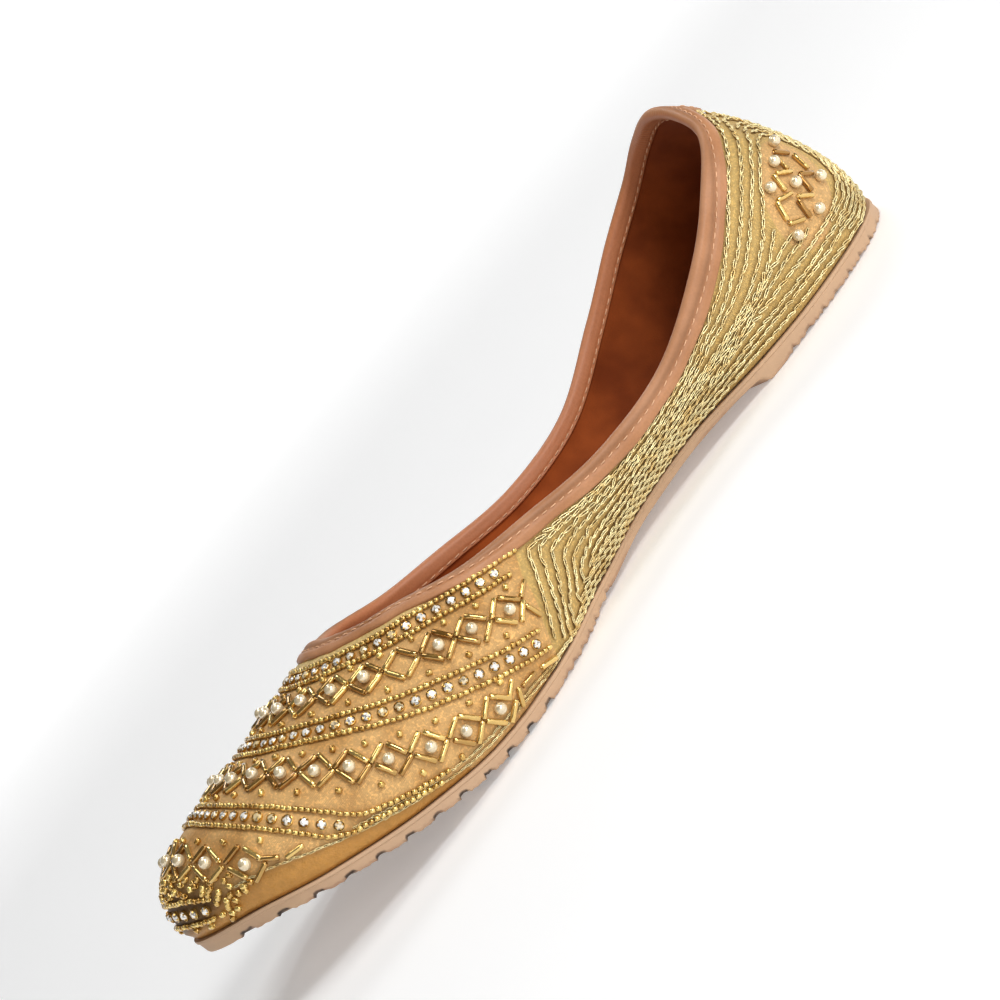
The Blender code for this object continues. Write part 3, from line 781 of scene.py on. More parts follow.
def makeUpper():
    look = upperLook
    u = bothHalves(look["columns"])

    def grid(shareDown):
        U, share = np.meshgrid(u, shareDown, indexing="ij")
        return U, share * wallDepth(U)
    U, depth = grid(np.linspace(0, 1, look["rowsDown"] + 1))
    outer, normal = place(U, depth)
    # the stitches pull the cloth in, so it swells between the lines
    drawn = zariLines + featherLines + [b.upper for b in bands] + [b.lower for b in bands]
    marks = np.concatenate([smoothLine(line, 0.8) for line in drawn])
    marks = np.concatenate([marks, mirrored(marks)])
    near = nearestTo(place(*marks.T)[0])(outer)
    pull = look["stitchPull"] * (ridge(near, look["pullWidth"])
                                 - look["swell"] * ridge(near - look["swellAt"], look["swellWidth"]))
    outer = outer - normal * (pull * step(wallDepth(U) - depth, 0.3, 2.0) * mm)[..., None]
    inU, inDepth = grid(np.linspace(1, 0, look["rowsInside"] + 1))
    s = alongMm(inU)
    ripple = 0.10 * np.sin(s / 5.1 + inDepth / 9) * np.sin(s / 13.7 + 2) * step(inDepth, 3, 8)
    inner = place(inU, inDepth, ripple - wallThick(inDepth), bare=True)[0]
    ring = np.concatenate([outer, inner], 1)
    depth, U = np.concatenate([depth, inDepth], 1), np.concatenate([U, inU], 1)
    half = fold(U)[0]
    vampEdge, rimEdge = pastVamp(half, depth) * mmPerU, pastRim(half, depth)
    stripEdge = np.where(half > throatStrip[0][0], np.interp(half, *np.transpose(throatStrip)) - depth, -5.0)
    off = np.hypot((half - motif["u"]) / motif["halfU"], (depth - motif["depth"]) / motif["halfDepth"])
    # painted shade on the cloth beside the stitched lines
    pressed = np.zeros(U.shape)
    pressed[:, :near.shape[1]] = ridge(near, look["stitchShadeWidth"])
    # the toe tip darkened: painted shade with some soil
    dirtAndShade = (step(half, *look["dirtAndShadeU"]) * step(depth, *look["dirtAndShadeDepth"])
              * step(rimEdge, *look["dirtAndShadeRim"]))
    piece = newPiece("upper_cloth", ring, gridFaces(*U.shape, True, True), [cloth, suede],
                     spot=np.stack([alongMm(U), depth, U * 0], -1), pressed=pressed, vampEdge=vampEdge,
                     rimEdge=rimEdge, stripEdge=np.minimum(stripEdge, vampEdge), motifEdge=(1 - off) * 12,
                     toeShade=dirtAndShade)
    inside = np.zeros(U.shape, int)
    inside[:, look["rowsDown"] + 1:] = 1
    piece.data.polygons.foreach_set("material_index", inside.ravel())
    return piece


upper = makeUpper()
print("upper lasted")


# ---- binding round the collar ----
bindingLook = dict(columns=22, thickness=0.85, gap=0.12, inside=3.5, rollSteps=9, stitchUp=2.9, groove=0.36,
                   puff=0.26, grooveWidth=0.65, insideGrooveWidth=0.45, creaseUp=0.95, creaseWidth=0.85,
                   stitchPitch=2.7, stitchLength=1.8, threadRadius=0.15, insideStitchUp=0.75, sunk=0.14,
                   insideSunk=0.12, stitchLean=(4, 2.5))


def stitchDepth(u):
    return column("strip", fold(u)[0]) - bindingLook["stitchUp"]


def makeBinding():
    look = bindingLook
    u = bothHalves(look["columns"])
    half, side = fold(u)
    s, seam = alongMm(u), stitchDepth(u)
    reach = column("strip", half) + 0.14 * np.sin(s / 6.1) + 0.10 * np.sin(s / 2.7 + 1)
    near, far, inside = look["gap"], look["gap"] + look["thickness"], look["inside"]
    wall = last["skived"] / mm
    middle = -wall / 2
    # depth and offset of each row, the outside first
    rows = [(reach, near), (reach + 0.02, near + 0.45), (reach - 0.10, far - 0.22)]
    for t in np.append(np.linspace(0.94, 0.14, 11), 0.07):
        d = reach * t
        lift = far + look["puff"] * np.sin(math.pi * t) + 0.05 * np.sin(s / 4.3 + d) - 0.1 * step(t, 0.86, 1)
        rows.append((d, lift - look["groove"] * ridge(d - seam, look["grooveWidth"])))
    for k in range(look["rollSteps"] + 1):           # over the top
        a = math.pi * k / look["rollSteps"]
        swell = (far - middle) * (1 + 0.03 * np.sin(s / 5.3 + 0.8 * k))
        rows.append((-swell * math.sin(a), middle + swell * math.cos(a)))
    for t in (0.15, 0.35, 0.55, 0.65, 0.75, 0.9):
        dip = ridge(inside * (t - 1) + look["insideStitchUp"], look["insideGrooveWidth"])
        rows.append((inside * t, -wall - far + look["groove"] * dip))
    under = near - middle
    rows += [(inside, -wall - far + 0.25), (inside + 0.02, -wall - near - 0.1), (inside * 0.5, -wall - near),
             (0, -wall - near), (-under * 0.7, middle - under * 0.7), (-under, middle),
             (-under * 0.7, middle + under * 0.7), (0, near), (reach * 0.5, near)]
    top, topNormal = wallPoint(half, 0 * half), wallNormal(half, 0 * half)
    onwards = unit(top - wallPoint(half, 0 * half + 1e-4))
    points, sewn = [], []
    for depth, offset in rows:
        depth, offset = np.broadcast_to(depth, u.shape), np.broadcast_to(offset, u.shape)[:, None] * mm
        v = shareOf(half, np.maximum(depth, 0))
        points.append(np.where((depth > 0)[:, None], wallPoint(half, v) + wallNormal(half, v) * offset,
                               top - onwards * (depth * mm)[:, None] + topNormal * offset))
        sewn.append(ridge(depth - seam + look["creaseUp"], look["creaseWidth"]) * (np.mean(offset) > 0))
    ring = np.stack(points, 1)
    ring[..., 0] *= side[:, None]
    across = np.array([np.mean(offset) for _, offset in rows])
    return newPiece("collar_binding_leather", ring, gridFaces(*ring.shape[:2], True, True), [leather],
                    inward=np.tile(step(across, middle + 0.5, middle - 0.7), len(u)),
                    curl=np.repeat(1 - step(half, 0.35, 1.3), len(rows)), sewn=np.stack(sewn, 1),
                    along=np.repeat(alongMm(half), len(rows)))


def stitched(name, look, spots, up, run, finish):
    # a row of stitches that dip into the leather at both ends
    half, radius = look["stitchLength"] / 2, look["threadRadius"]
    shares = ((-1, 0.35), (-0.8, 0.9), (-0.35, 1), (0.35, 1), (0.8, 0.9), (1, 0.35))
    verts, faces = turned(np.array(shares) * (half, radius), 6, closed=False)
    verts[:, 2] += 0.16 - 0.34 * (verts[:, 0] / half)**4
    return strewn(name, (verts, faces), spots, up, squareTo(up, run), finish)


def makeBindingStitches():
    look = bindingLook
    u = np.linspace(0, roundU, 1201)
    far = look["gap"] + look["thickness"]
    parts = []
    for depth, lift, side in (
            (stitchDepth(u), far - look["sunk"], 1),
            (look["inside"] - look["insideStitchUp"], look["insideSunk"] - far - last["skived"] / mm, -1)):
        line, normal = place(u, depth, lift, bare=True)
        arc = lengthAlong(line, mm)
        at = evenly(arc, int(arc[-1] / look["stitchPitch"]))
        up = side * unit(readAlong(at, arc, normal))
        run = readAlong(at + 0.5, arc, line) - readAlong(at - 0.5, arc, line)
        run[[0, -1]] = run[[1, -2]]
        run = leaning(squareTo(up, run), up, rng.normal(*look["stitchLean"], len(at)))
        parts.append((readAlong(at, arc, line), up, run))
    return stitched("binding_stitches", look, *gathered(parts), creamThread)


binding = makeBinding()
bindingStitches = makeBindingStitches()
print("collar bound")


# ---- leather patch over the back seam ----
tabLook = dict(halfWidth=6.5, side=6.0, point=9.0, thickness=1.2, steps=22, edgeDrop=0.75, groove=0.2,
               grooveIn=1.3, grooveWidth=0.4, puff=0.12, stitchPitch=2.3, stitchLength=1.7, threadRadius=0.19,
               sunk=0.12)


def tabPoint(across, depth, lift):
    # across is mm beside the back seam
    aside = np.abs(across)
    u = halved(np.zeros_like(aside), np.full_like(aside, 1.2),
               lambda u: wallPoint(u, shareOf(u, depth))[..., 0] / mm >= aside)
    return place(np.where(across < 0, roundU - u, u) % roundU, depth, lift, bare=True)


def makeTab():
    look = tabLook
    gap = last["gap"] / mm
    base, full, n = sections[0].strip + gap, gap + look["thickness"], look["steps"]
    t, d = np.meshgrid(np.linspace(-1, 1, 2 * n + 1), np.linspace(0, 1, n + 1), indexing="ij")
    length = look["point"] + (look["side"] - look["point"]) * np.abs(t)
    across, depth = t * look["halfWidth"], base + length * d
    edge = np.minimum((1 - np.abs(t)) * look["halfWidth"], (1 - d) * length * 0.9)
    edge = np.minimum(edge, d * length + 0.25)
    high = full - look["edgeDrop"] * (1 - step(edge, -0.15, 0.7)) + look["puff"] * step(edge, 1.6, 4)
    high = high - look["groove"] * ridge(edge - look["grooveIn"], look["grooveWidth"])
    rows, columns = t.shape
    verts = np.concatenate([tabPoint(across, depth, lift)[0].reshape(-1, 3) for lift in (high, 0 * t + gap)])
    shift = rows * columns
    faces = gridFaces(rows, columns) + [[k + shift for k in f] for f in gridFaces(rows, columns, flip=True)]
    rim = ([i * columns for i in range(rows)] + [(rows - 1) * columns + j for j in range(1, columns)]
           + [i * columns + columns - 1 for i in range(rows - 2, -1, -1)] + list(range(columns - 2, 0, -1)))
    faces += [[b, a, a + shift, b + shift] for a, b in zip(rim, rim[1:] + rim[:1])]
    tab = newPiece("back_tab_leather", verts, faces, [tabLeather], sharp=60)
    # thread runs round inside the edge
    w, s, p = look["halfWidth"] - 1.3, look["side"] - 1.0, look["point"] - 1.7
    path = np.array([(-w, 0.8), (-w, s), (0, p), (w, s), (w, 0.8)]) + (0, base)
    arc = lengthAlong(path)
    at = np.arange(0.8, arc[-1] - 0.5, look["stitchPitch"])
    lift = np.full(len(at), full - look["sunk"])
    (spot, up), (ahead, _) = (tabPoint(*readAlong(at + more, arc, path).T, lift) for more in (0, 0.3))
    return tab, stitched("back_tab_stitches", look, spot, up, ahead - spot, creamThread)


tab, tabStitches = makeTab()
print("back tab sewn")


# ---- outsole ----
Tread = namedtuple("Tread", "name start end pitch groove depth ripple dirt")
treads = [   # start and end are shares of the length, the rest mm, but for the share of painted shade in the cuts
    Tread("forefoot", -0.466, -0.120, 7.1, 2.9, 1.2, 0.26, 1.0),
    Tread("ball", -0.121, -0.004, 4.2, 1.6, 0.8, 0.55, 0.25),
    Tread("heel", 0.273, 0.472, 6.0, 1.7, 0.8, 0.50, 0.35),
]
soleLook = dict(draft=0.35, columns=36, across=26, ripplePitch=2.1, edgeCut=0.5, edgeAt=0.4, inside=3.5)
# the moulding's outline from inside the top edge to inside the lower one, mm in from the lip and up
OutlineRow = namedtuple("OutlineRow", "inset end high lowness")
outline = [
    OutlineRow(3.5, "top", 0, 0), OutlineRow(0.5, "top", 0, 0), OutlineRow(0.14, "top", -0.10, 0),
    OutlineRow(0, "top", -0.40, 0), OutlineRow(0.02, "top", -0.85, 0), OutlineRow(0.30, "top", -1.02, 0),
    OutlineRow(0.34, "low", 0.95, 0.25), OutlineRow(0.36, "low", 0.5, 1), OutlineRow(0.5, "low", 0.14, 1),
    OutlineRow(0.9, "low", 0, 1), OutlineRow(3.5, "low", 0, 1),
]


def grooves():
    length = last["length"] / mm
    for row in treads:
        for i in range(int((row.end - row.start) * length / row.pitch)):
            yield row, row.start * length + i * row.pitch


def grooveShare(y, first, row):
    draft = soleLook["draft"]
    return step(y, first, first + draft) * (1 - step(y, first + row.groove - draft, first + row.groove))


def treadDepth(y, share=1.0):
    # how far the underside is cut away at y, in mm; the cuts are shallower at the edge
    along, length = y / mm, last["length"] / mm
    cut, high = np.zeros_like(y), np.zeros_like(y)
    for row, first in grooves():
        cut = np.maximum(cut, grooveShare(along, first, row) * row.depth * (1 + 0.14 * math.sin(2.3 * first)))
    for row in treads:
        start, end = row.start * length, row.end * length
        high = high + row.ripple * step(along, start - 3, start) * (1 - step(along, end - 2, end))
    wave = 0.5 + 0.5 * np.sin(2 * math.pi * along / soleLook["ripplePitch"] + 1.4 * np.sin(along / 3.1))
    return cut * share + high * wave


def planRing(u, inset):
    # the foot outline moved in by so many mm
    half = fold(u)[0]
    return onAxis(u, planPoint("foot", half) - outwards("foot", half) * inset * mm)


def onAxis(u, ring):
    # mirrors the left half's points and puts the two end points on the middle line
    half, side = fold(u)
    ring[:, 0] *= np.where(np.isclose(half % lastSection, 0), 0, side)
    return ring


def capped(rings, topFirst, across, heights):
    # rings that are the same on both sides, closed at the top and then underneath by rows from side to
    # side; heights are functions of the rows' points, and the first and last row close as fans
    count = len(rings[0])
    faces = gridFaces(len(rings), count, closeColumns=True, flip=topFirst)
    parts, start = list(rings), len(rings) * count
    for top, wide, height in zip((True, False), across, heights):
        at = 0 if top == topFirst else len(rings) - 1
        ring, first, t = rings[at], at * count, np.linspace(1, -1, wide)[1:-1, None]
        filling, rows = [], []
        for n in range(1, count // 2):
            filling.append((ring[n] + ring[-n]) / 2 + (ring[n] - ring[-n]) / 2 * t)
            filling[-1][:, 2] = height(filling[-1])
            rows.append([first + n, *range(start, start + len(t)), first + count - n])
            start += len(t)
        cap = [[a, b, d, c] for row, after in zip(rows, rows[1:])
               for a, b, c, d in zip(row, row[1:], after, after[1:])]
        cap += [[first, b, a] for a, b in zip(rows[0], rows[0][1:])]
        cap += [[first + count // 2, a, b] for a, b in zip(rows[-1], rows[-1][1:])]
        faces += [face[::-1] for face in cap] if top else cap
        parts.append(np.concatenate(filling))
    return parts, faces


def cutShadeAt(y):
    # the cuts are darkened with painted shade
    return np.max([grooveShare(y / mm, first - 0.3, row) * row.dirt for row, first in grooves()], 0)


def makeOutsole():
    look = soleLook
    half = np.linspace(0, lastSection, lastSection * look["columns"] + 1)
    edges = np.array([(a, a + look["draft"], a + row.groove - look["draft"], a + row.groove)
                      for row, a in grooves()]).ravel()
    more = np.interp(-edges, -planPoint("foot", half)[:, 1] / mm, half)
    half = np.unique(np.round(np.concatenate([half, more]), 4))
    u = np.concatenate([half, roundU - half[-2:0:-1]])
    count, lip = len(u), last["lip"] / mm
    edge = treadDepth(planRing(u, look["edgeAt"] - lip)[:, 1], look["edgeCut"])
    edge = edge + 0.05 + 0.05 * np.sin(alongMm(u) / 3.3)
    rings, low, grime = [], [], []
    for row in outline:
        ring = planRing(u, row.inset - lip)
        y = ring[:, 1]
        if row.end == "top":
            ring[:, 2] = soleTop(y) + row.high * mm
        else:
            cut = edge if row.inset < look["inside"] else treadDepth(y)
            ring[:, 2] = soleUnder(y) + (cut + row.high) * mm
        rings.append(ring)
        low.append(np.full(count, row.lowness))
        # painted shade in the cuts, on the lower rows only
        grime.append(cutShadeAt(y) * (row.lowness == 1))
    parts, faces = capped(rings, True, (look["across"],) * 2, (
        lambda p: soleTop(p[:, 1]), lambda p: soleUnder(p[:, 1]) + treadDepth(p[:, 1]) * mm))
    clean, under = np.zeros(len(parts[-2])), parts[-1][:, 1]
    return newPiece("outsole_rubber", np.concatenate(parts), faces, [rubber], sharp=35,
                    lowness=np.concatenate(low + [clean, under * 0 + 1]),
                    grime=np.concatenate(grime + [clean, cutShadeAt(under)]))


outsole = makeOutsole()
print("outsole moulded")


# ---- insole ----
insoleLook = dict(thickness=3.0, clearance=0.5, inset=2.6, sideHeight=2.1, underside=4, across=(84, 12),
                  columns=26, trough=0.75, troughWidth=1.5, pad=0.7, padWidth=9, edge=6, stitchPitch=3.4,
                  stitchLength=2.0, threadRadius=0.2, sunk=0.12)
ShoulderRow = namedtuple("ShoulderRow", "back high")     # mm in from the side and up
shoulder = [ShoulderRow(0.25, 2.55), ShoulderRow(0.8, 2.9), ShoulderRow(1.6, 3.0)]
spoon = [   # half width of the stitched spoon against its place along the insole, in mm
    (0.0, 106.3), (7.0, 105.2), (13.0, 101.5), (17.4, 96.0), (19.3, 89.0), (18.4, 79.0), (14.2, 63.0),
    (9.2, 35.0), (7.2, 20.0), (8.2, 6.0), (10.9, -3.4), (17.8, -17.0), (23.7, -27.3), (26.0, -39.0),
    (26.2, -60.0), (23.0, -84.0), (15.0, -100.0), (6.0, -105.6), (0.0, -106.5)]


def spoonLine():
    points = np.array(spoon, float)
    points = np.concatenate([points, points[-2:0:-1] * (-1, 1), points[:1]])
    t = lengthAlong(points)
    line = throughAll(points, t, np.linspace(0, t[-1], int(t[-1] / 0.5)))
    return np.concatenate([line, 0 * line[:, :1]], 1) * mm


def makeInsole():
    look = insoleLook
    line = spoonLine()
    u = bothHalves(look["columns"])
    half = fold(u)[0]
    foot, out = planPoint("foot", half), outwards("foot", half)
    gap = last["wall"] + look["clearance"] * mm

    def floorAt(p):
        return soleTop(p[:, 1]) + last["gap"]

    def inWall(v):
        return wallPoint(half, v) - wallNormal(half, v) * gap
    sideHigh = floorAt(foot) + look["sideHeight"] * mm
    side = inWall(halved(0 * half + 0.5, 0 * half + 1, lambda v: inWall(v)[:, 2] <= sideHigh))
    edge = foot - out * look["inset"] * mm
    rings = [edge - out * look["underside"] * mm, edge, side]
    rings += [side - out * row.back * mm for row in shoulder]
    for ring, high in zip(rings, [0, 0, None] + [row.high for row in shoulder]):
        if high is not None:
            ring[:, 2] = floorAt(ring) + high * mm
        onAxis(u, ring)
    nearSpoon = nearestTo(line)

    def topHeight(p):
        near = nearSpoon(p * (1, 1, 0))
        x, y = p[:, 0] / mm, p[:, 1] / mm
        swell = 0.08 * np.sin(x / 7 + 1) * np.sin(y / 11) - look["trough"] * ridge(near, look["troughWidth"])
        swell = swell + look["pad"] * np.sin(np.clip(near / look["padWidth"], 0, 1) * math.pi / 2)
        inward = step(np.max(np.abs(x)) - np.abs(x), 0, look["edge"])
        return floorAt(p) + (look["thickness"] + swell * inward) * mm

    parts, faces = capped(rings, False, look["across"], (topHeight, floorAt))
    board = newPiece("insole_suede_board", np.concatenate(parts), faces, [insoleSuede])
    arc = lengthAlong(line, mm)
    at = np.arange(1.0, arc[-1], look["stitchPitch"])
    spot = readAlong(at, arc, line)
    run = readAlong(at + 0.5, arc, line) - spot
    y = spot[:, 1]
    spot[:, 2] = floorAt(spot) + (look["thickness"] - look["trough"] + look["sunk"]) * mm
    slope = (soleTop(y + 1e-4) - soleTop(y - 1e-4)) / 2e-4
    up = unit(np.stack([0 * y, -slope, 1 + 0 * y], 1))
    return board, stitched("insole_stitches", look, spot, up, run, brownThread)


insole, insoleStitches = makeInsole()
print("insole laid")


# ---- zari chain stitch ----
# three of these values give the top, bottom and sides of a dark sheet of painted shade in each loop's eye
zariLook = dict(pitch=2.75, length=3.35, halfWidth=0.40, thread=0.18, around=12, sides=4, fine=0.6,
                shadeSheet=0.09, shadeSheetDown=-0.3, shadeSheetSides=8, notWire=-9, lift=0.02, lean=7, stray=0.07,
                size=(0.90, 1.07))


def chainLink():
    # a drawn-out loop of thread that starts inside the loop before it, with a dark sheet of painted shade in
    # its eye
    look = zariLook
    half = look["length"] / 2

    def oval(angle, length, width):
        x = -np.cos(angle) * length
        return x, np.sin(angle) * width * (0.74 + 0.26 * x / length)
    a, b = circle(look["around"]), circle(look["sides"])
    x, y = oval(a, half, look["halfWidth"])
    path = np.stack([x, y, 0.18 + 0.40 * ridge(x + half - 0.8, 0.7) + 0.08 * np.abs(np.sin(a))], 1)
    run = unit(np.roll(path, -1, 0) - np.roll(path, 1, 0))
    up = unit((0.0, 0.0, 1.0) - run * run[:, 2:])
    out = np.cross(run, up)
    aside, high = np.cos(b)[:, None] * out[:, None], np.sin(b)[:, None] * up[:, None]
    loop = path[:, None] + look["thread"] * (aside + high)
    ply = x[:, None] + np.sin(b) * 0.12 + 0.3 * np.sign(np.sin(a))[:, None]
    # a dark sheet in the loop's eye: painted shade
    x, y = oval(circle(look["shadeSheetSides"], 0.5), half - 0.3, look["halfWidth"] + 0.02)
    low, first = look["shadeSheetSides"], loop.shape[0] * loop.shape[1]
    verts = [loop.reshape(-1, 3)] + [np.stack([x, y, 0 * x + z], 1) for z in (look["shadeSheetDown"], look["shadeSheet"])]
    faces = gridFaces(look["around"], look["sides"], True, True)
    for start, order in ((first, 1), (first + low, -1)):
        faces += [[start + k for k in four][::order] for four in ((0, 1, 2, 7), (2, 3, 6, 7), (3, 4, 5, 6))]
    for k in range(low):
        after = (k + 1) % low
        faces.append([first + k, first + low + k, first + low + after, first + after])
    return (np.concatenate(verts), faces), np.append(ply, np.full(2 * low, look["notWire"]))


def bothSides(line):
    return [np.asarray(line, float), mirrored(line)[::-1]]


def makeZari():
    look = zariLook
    link, ply = chainLink()
    for name, side in (("zari_stitches_right", 0), ("zari_stitches_left", 1)):
        parts = []
        for lines, scale in ((zariLines, 1.0), (featherLines, look["fine"])):
            for line in lines:
                spot, up, run = walk(bothSides(line)[side], look["pitch"] * scale, look["lift"])
                spot = spot + np.cross(up, run) * rng.normal(0, look["stray"] * mm, (len(spot), 1))
                run = leaning(run, up, rng.normal(0, look["lean"], len(run)))
                parts.append((spot, up, run, scale * rng.uniform(*look["size"], len(run))))
        spots, ups, runs, sizes = gathered(parts)
        print(name, len(spots))
        yield strewn(name, link, spots, ups, runs, zari, sizes, ply)


zariRight, zariLeft = makeZari()


# ---- beads, stones and pearls ----
# in mm and degrees; strays of single beads are in u and depth, sizes are shares
beadLook = dict(seedPitch=1.42, seedLift=0.45, seedStray=0.06, seedLean=13, seedSize=(0.93, 1.05),
                bugleLength=5.0, bugleRadius=0.70, bugleStray=(0.006, 0.14), bugleSize=(0.92, 1.03),
                pearlRadius=1.5, pearlSunk=0.86, pearlStray=(0.008, 0.18), pearlSize=(0.95, 1.03),
                stonePitch=3.85, stoneLift=0.05, stoneTurn=20, stoneAskew=0.10, stoneSize=(0.93, 1.03),
                diamondHigh=4.1, singleUp=0.75, singleLift=0.5, singleSize=1.15, clearOfSole=1.0,
                singleClear=dict(panel=0.04, sole=2.5, rim=1))
seedShape = turned([(-0.67, 0.40), (-0.55, 0.60), (0.0, 0.66), (0.55, 0.60), (0.67, 0.40), (0.0, 0.24)], 8)


def bugleShape():
    h, r = beadLook["bugleLength"] / 2, beadLook["bugleRadius"]
    return turned([(-h, r * 0.82), (-h + 0.12, r), (-h * 0.4, r), (h * 0.4, r), (h - 0.12, r), (h, r * 0.82),
                   (h - 0.1, r * 0.5), (-h + 0.1, r * 0.5)], 9)


def pearlShape():
    r = beadLook["pearlRadius"]
    a = np.radians((8, 25, 45, 67.5, 90, 112.5, 135, 155, 172))
    verts, faces = turned(np.stack([-np.cos(a) * r, np.sin(a) * r], 1), 14, closed=False)
    verts[:, 2] += r * beadLook["pearlSunk"]
    return verts, faces


def level(sides, radius, high, turn=0.0):
    a = circle(sides, turn)
    return np.stack([radius * np.cos(a), radius * np.sin(a), np.full(sides, high)], 1)


def stoneShape():
    # girdle, crown and table of a small cut stone
    verts = [level(8, 0.95, 0.15), level(8, 1.12, 0.55), level(8, 0.78, 0.95, 0.5), level(8, 0.52, 1.12)]
    faces = []
    for a, b, d, c in gridFaces(4, 8, closeColumns=True):
        faces += [[a, b, c], [b, d, c]]
    return np.concatenate(verts), faces + [list(range(24, 32)), list(range(7, -1, -1))]


def cupShape():
    # a ring and four claws
    ring = [level(14, r, z) for r, z in ((1.32, 0.0), (1.36, 0.62), (1.22, 0.70), (1.12, 0.30), (1.0, 0.0))]
    shapes = [(np.concatenate(ring), gridFaces(5, 14, True, True, flip=True))]
    box = np.array([(x, y, z) for x in (-0.5, 0.5) for y in (-0.5, 0.5) for z in (0, 1)], float)
    boxFaces = [[0, 1, 3, 2], [4, 6, 7, 5], [0, 4, 5, 1], [2, 3, 7, 6], [0, 2, 6, 4], [1, 5, 7, 3]]
    claw = box * (0.34, 0.42, 0.98)
    claw[:, 0] += 1.16 - 0.42 * box[:, 2]
    for a in circle(4, 0.5):
        turn = np.array([[math.cos(a), math.sin(a), 0], [-math.sin(a), math.cos(a), 0], [0, 0, 1]])
        shapes.append((claw @ turn, boxFaces))
    return joined(shapes)


def makeSeeds():
    look = beadLook
    rows = [acrossToe(row) for band in bands for row in (band.upper, band.lower)]
    rows += [half for row in tailRows for half in bothSides(row)]
    spots, ups, runs = gathered([walk(row, look["seedPitch"], look["seedLift"]) for row in rows])
    spots = spots + np.cross(ups, runs) * rng.normal(0, look["seedStray"] * mm, (len(spots), 1))
    runs = leaning(runs, ups, rng.normal(0, look["seedLean"], len(runs)))
    print("seed beads", len(spots))
    return strewn("seed_beads", seedShape, spots, ups, runs, seedGold,
                  rng.uniform(*look["seedSize"], len(spots)))


def makeStones():
    look = beadLook
    spots, ups, runs = gathered([walk(acrossToe(band.stones), look["stonePitch"], look["stoneLift"])
                                 for band in bands])
    runs = leaning(runs, ups, rng.uniform(-look["stoneTurn"], look["stoneTurn"], len(runs)))
    # each stone sits a little askew in its claws
    askew = unit(ups + rng.normal(0, look["stoneAskew"], ups.shape))
    size = rng.uniform(*look["stoneSize"], len(spots))
    print("stones", len(spots))
    stones = strewn("crystal_stones", stoneShape(), spots, askew, squareTo(askew, runs), crystal, size,
                    smooth=False)
    return stones, strewn("stone_cups", cupShape(), spots, ups, runs, brass, size, smooth=False)


def diamondPlaces(row):
    # middles and crossings of a row of diamonds, right round the toe, as (u, depth)
    line = smoothLine(acrossToe(row.line), 0.5)
    arc = lengthAlong(place(*line.T)[0], mm)
    u = np.array(row.pearls)
    middles = np.interp(np.concatenate([u, roundU - u[u < lastSection][::-1]]), line[:, 0], arc)
    joins = (middles[1:] + middles[:-1]) / 2
    joins = np.concatenate([[2 * middles[0] - joins[0]], joins, [2 * middles[-1] - joins[-1]]])
    return readAlong(middles, arc, line), readAlong(joins, arc, line)


def makeBugles(ends):
    look = beadLook
    ends = np.array(ends, float).transpose(1, 0, 2)
    a, b = (end + rng.normal(0, 1, end.shape) * look["bugleStray"] for end in ends)
    low = look["clearOfSole"]
    start, up1 = place(a[:, 0], np.minimum(a[:, 1], wallDepth(a[:, 0]) - low))
    finish, up2 = place(b[:, 0], np.minimum(b[:, 1], wallDepth(b[:, 0]) - low))
    between = (a + b) / 2
    middle, _ = place(between[:, 0], np.minimum(between[:, 1], wallDepth(a[:, 0]) - low))
    run = unit(finish - start)
    up = squareTo(run, unit(up1 + up2))
    span = np.linalg.norm(finish - start, axis=1) / mm
    # lifted to clear the cloth where it bulges between the ends
    high = np.maximum(np.sum((middle - (start + finish) / 2) * up, 1), 0)
    spots = (start + finish) / 2 + up * (look["bugleRadius"] * mm + high)[:, None]
    size = np.clip((span - 0.2) / look["bugleLength"], *look["bugleSize"])
    return strewn("bugle_beads", bugleShape(), spots, up, run, bugleGold, size)


def anyWay(up):
    return unit(np.cross(up, rng.normal(0, 1, up.shape)))


def makeDiamonds():
    look = beadLook
    ends, pearls, singles = [], [], []
    for row in diamondRows:
        middles, joins = diamondPlaces(row)
        high = look["diamondHigh"]
        for n, (back, here, ahead) in enumerate(zip(joins, middles, joins[1:])):
            for sign in (-1, 1):
                tip = here + (0, sign * high)
                ends += [(back, tip), (tip, ahead)]
                singles.append(back + (0, sign * (high + look["singleUp"])))
                if n == len(middles) - 1:
                    singles.append(ahead + (0, sign * (high + look["singleUp"])))
            if row.bare < 0 or n not in (row.bare, len(middles) - 1 - row.bare):
                pearls.append(here)
    for pair in looseBugles + heelBugles:
        ends += [pair, mirrored(pair)]
    pearls = np.concatenate([pearls, heelPearls, mirrored(heelPearls)])
    print("bugles", len(ends), "pearls", len(pearls))
    bugles = makeBugles(ends)
    pearls = pearls + rng.normal(0, 1, pearls.shape) * look["pearlStray"]
    spot, up = place(*pearls.T)
    pearlPiece = strewn("pearl_beads", pearlShape(), spot, up, anyWay(up), pearl,
                        rng.uniform(*look["pearlSize"], len(spot)))
    # single beads only on the beaded panel, clear of the sole and the rim
    u, depth = np.transpose(singles)
    half, clear = fold(u)[0], look["singleClear"]
    kept = ((pastVamp(half, depth) > clear["panel"]) & (depth < wallDepth(u) - clear["sole"])
            & (pastRim(half, depth) < -clear["rim"]))
    singles = np.concatenate([np.array(singles)[kept], toeBeads, mirrored(toeBeads)])
    spot, up = place(*singles.T, look["singleLift"])
    single = strewn("single_gold_beads", seedShape, spot, up, anyWay(up), seedGold, look["singleSize"])
    return bugles, pearlPiece, single


seeds = makeSeeds()
stones, cups = makeStones()
bugles, pearls, singles = makeDiamonds()
print("beads sewn on")


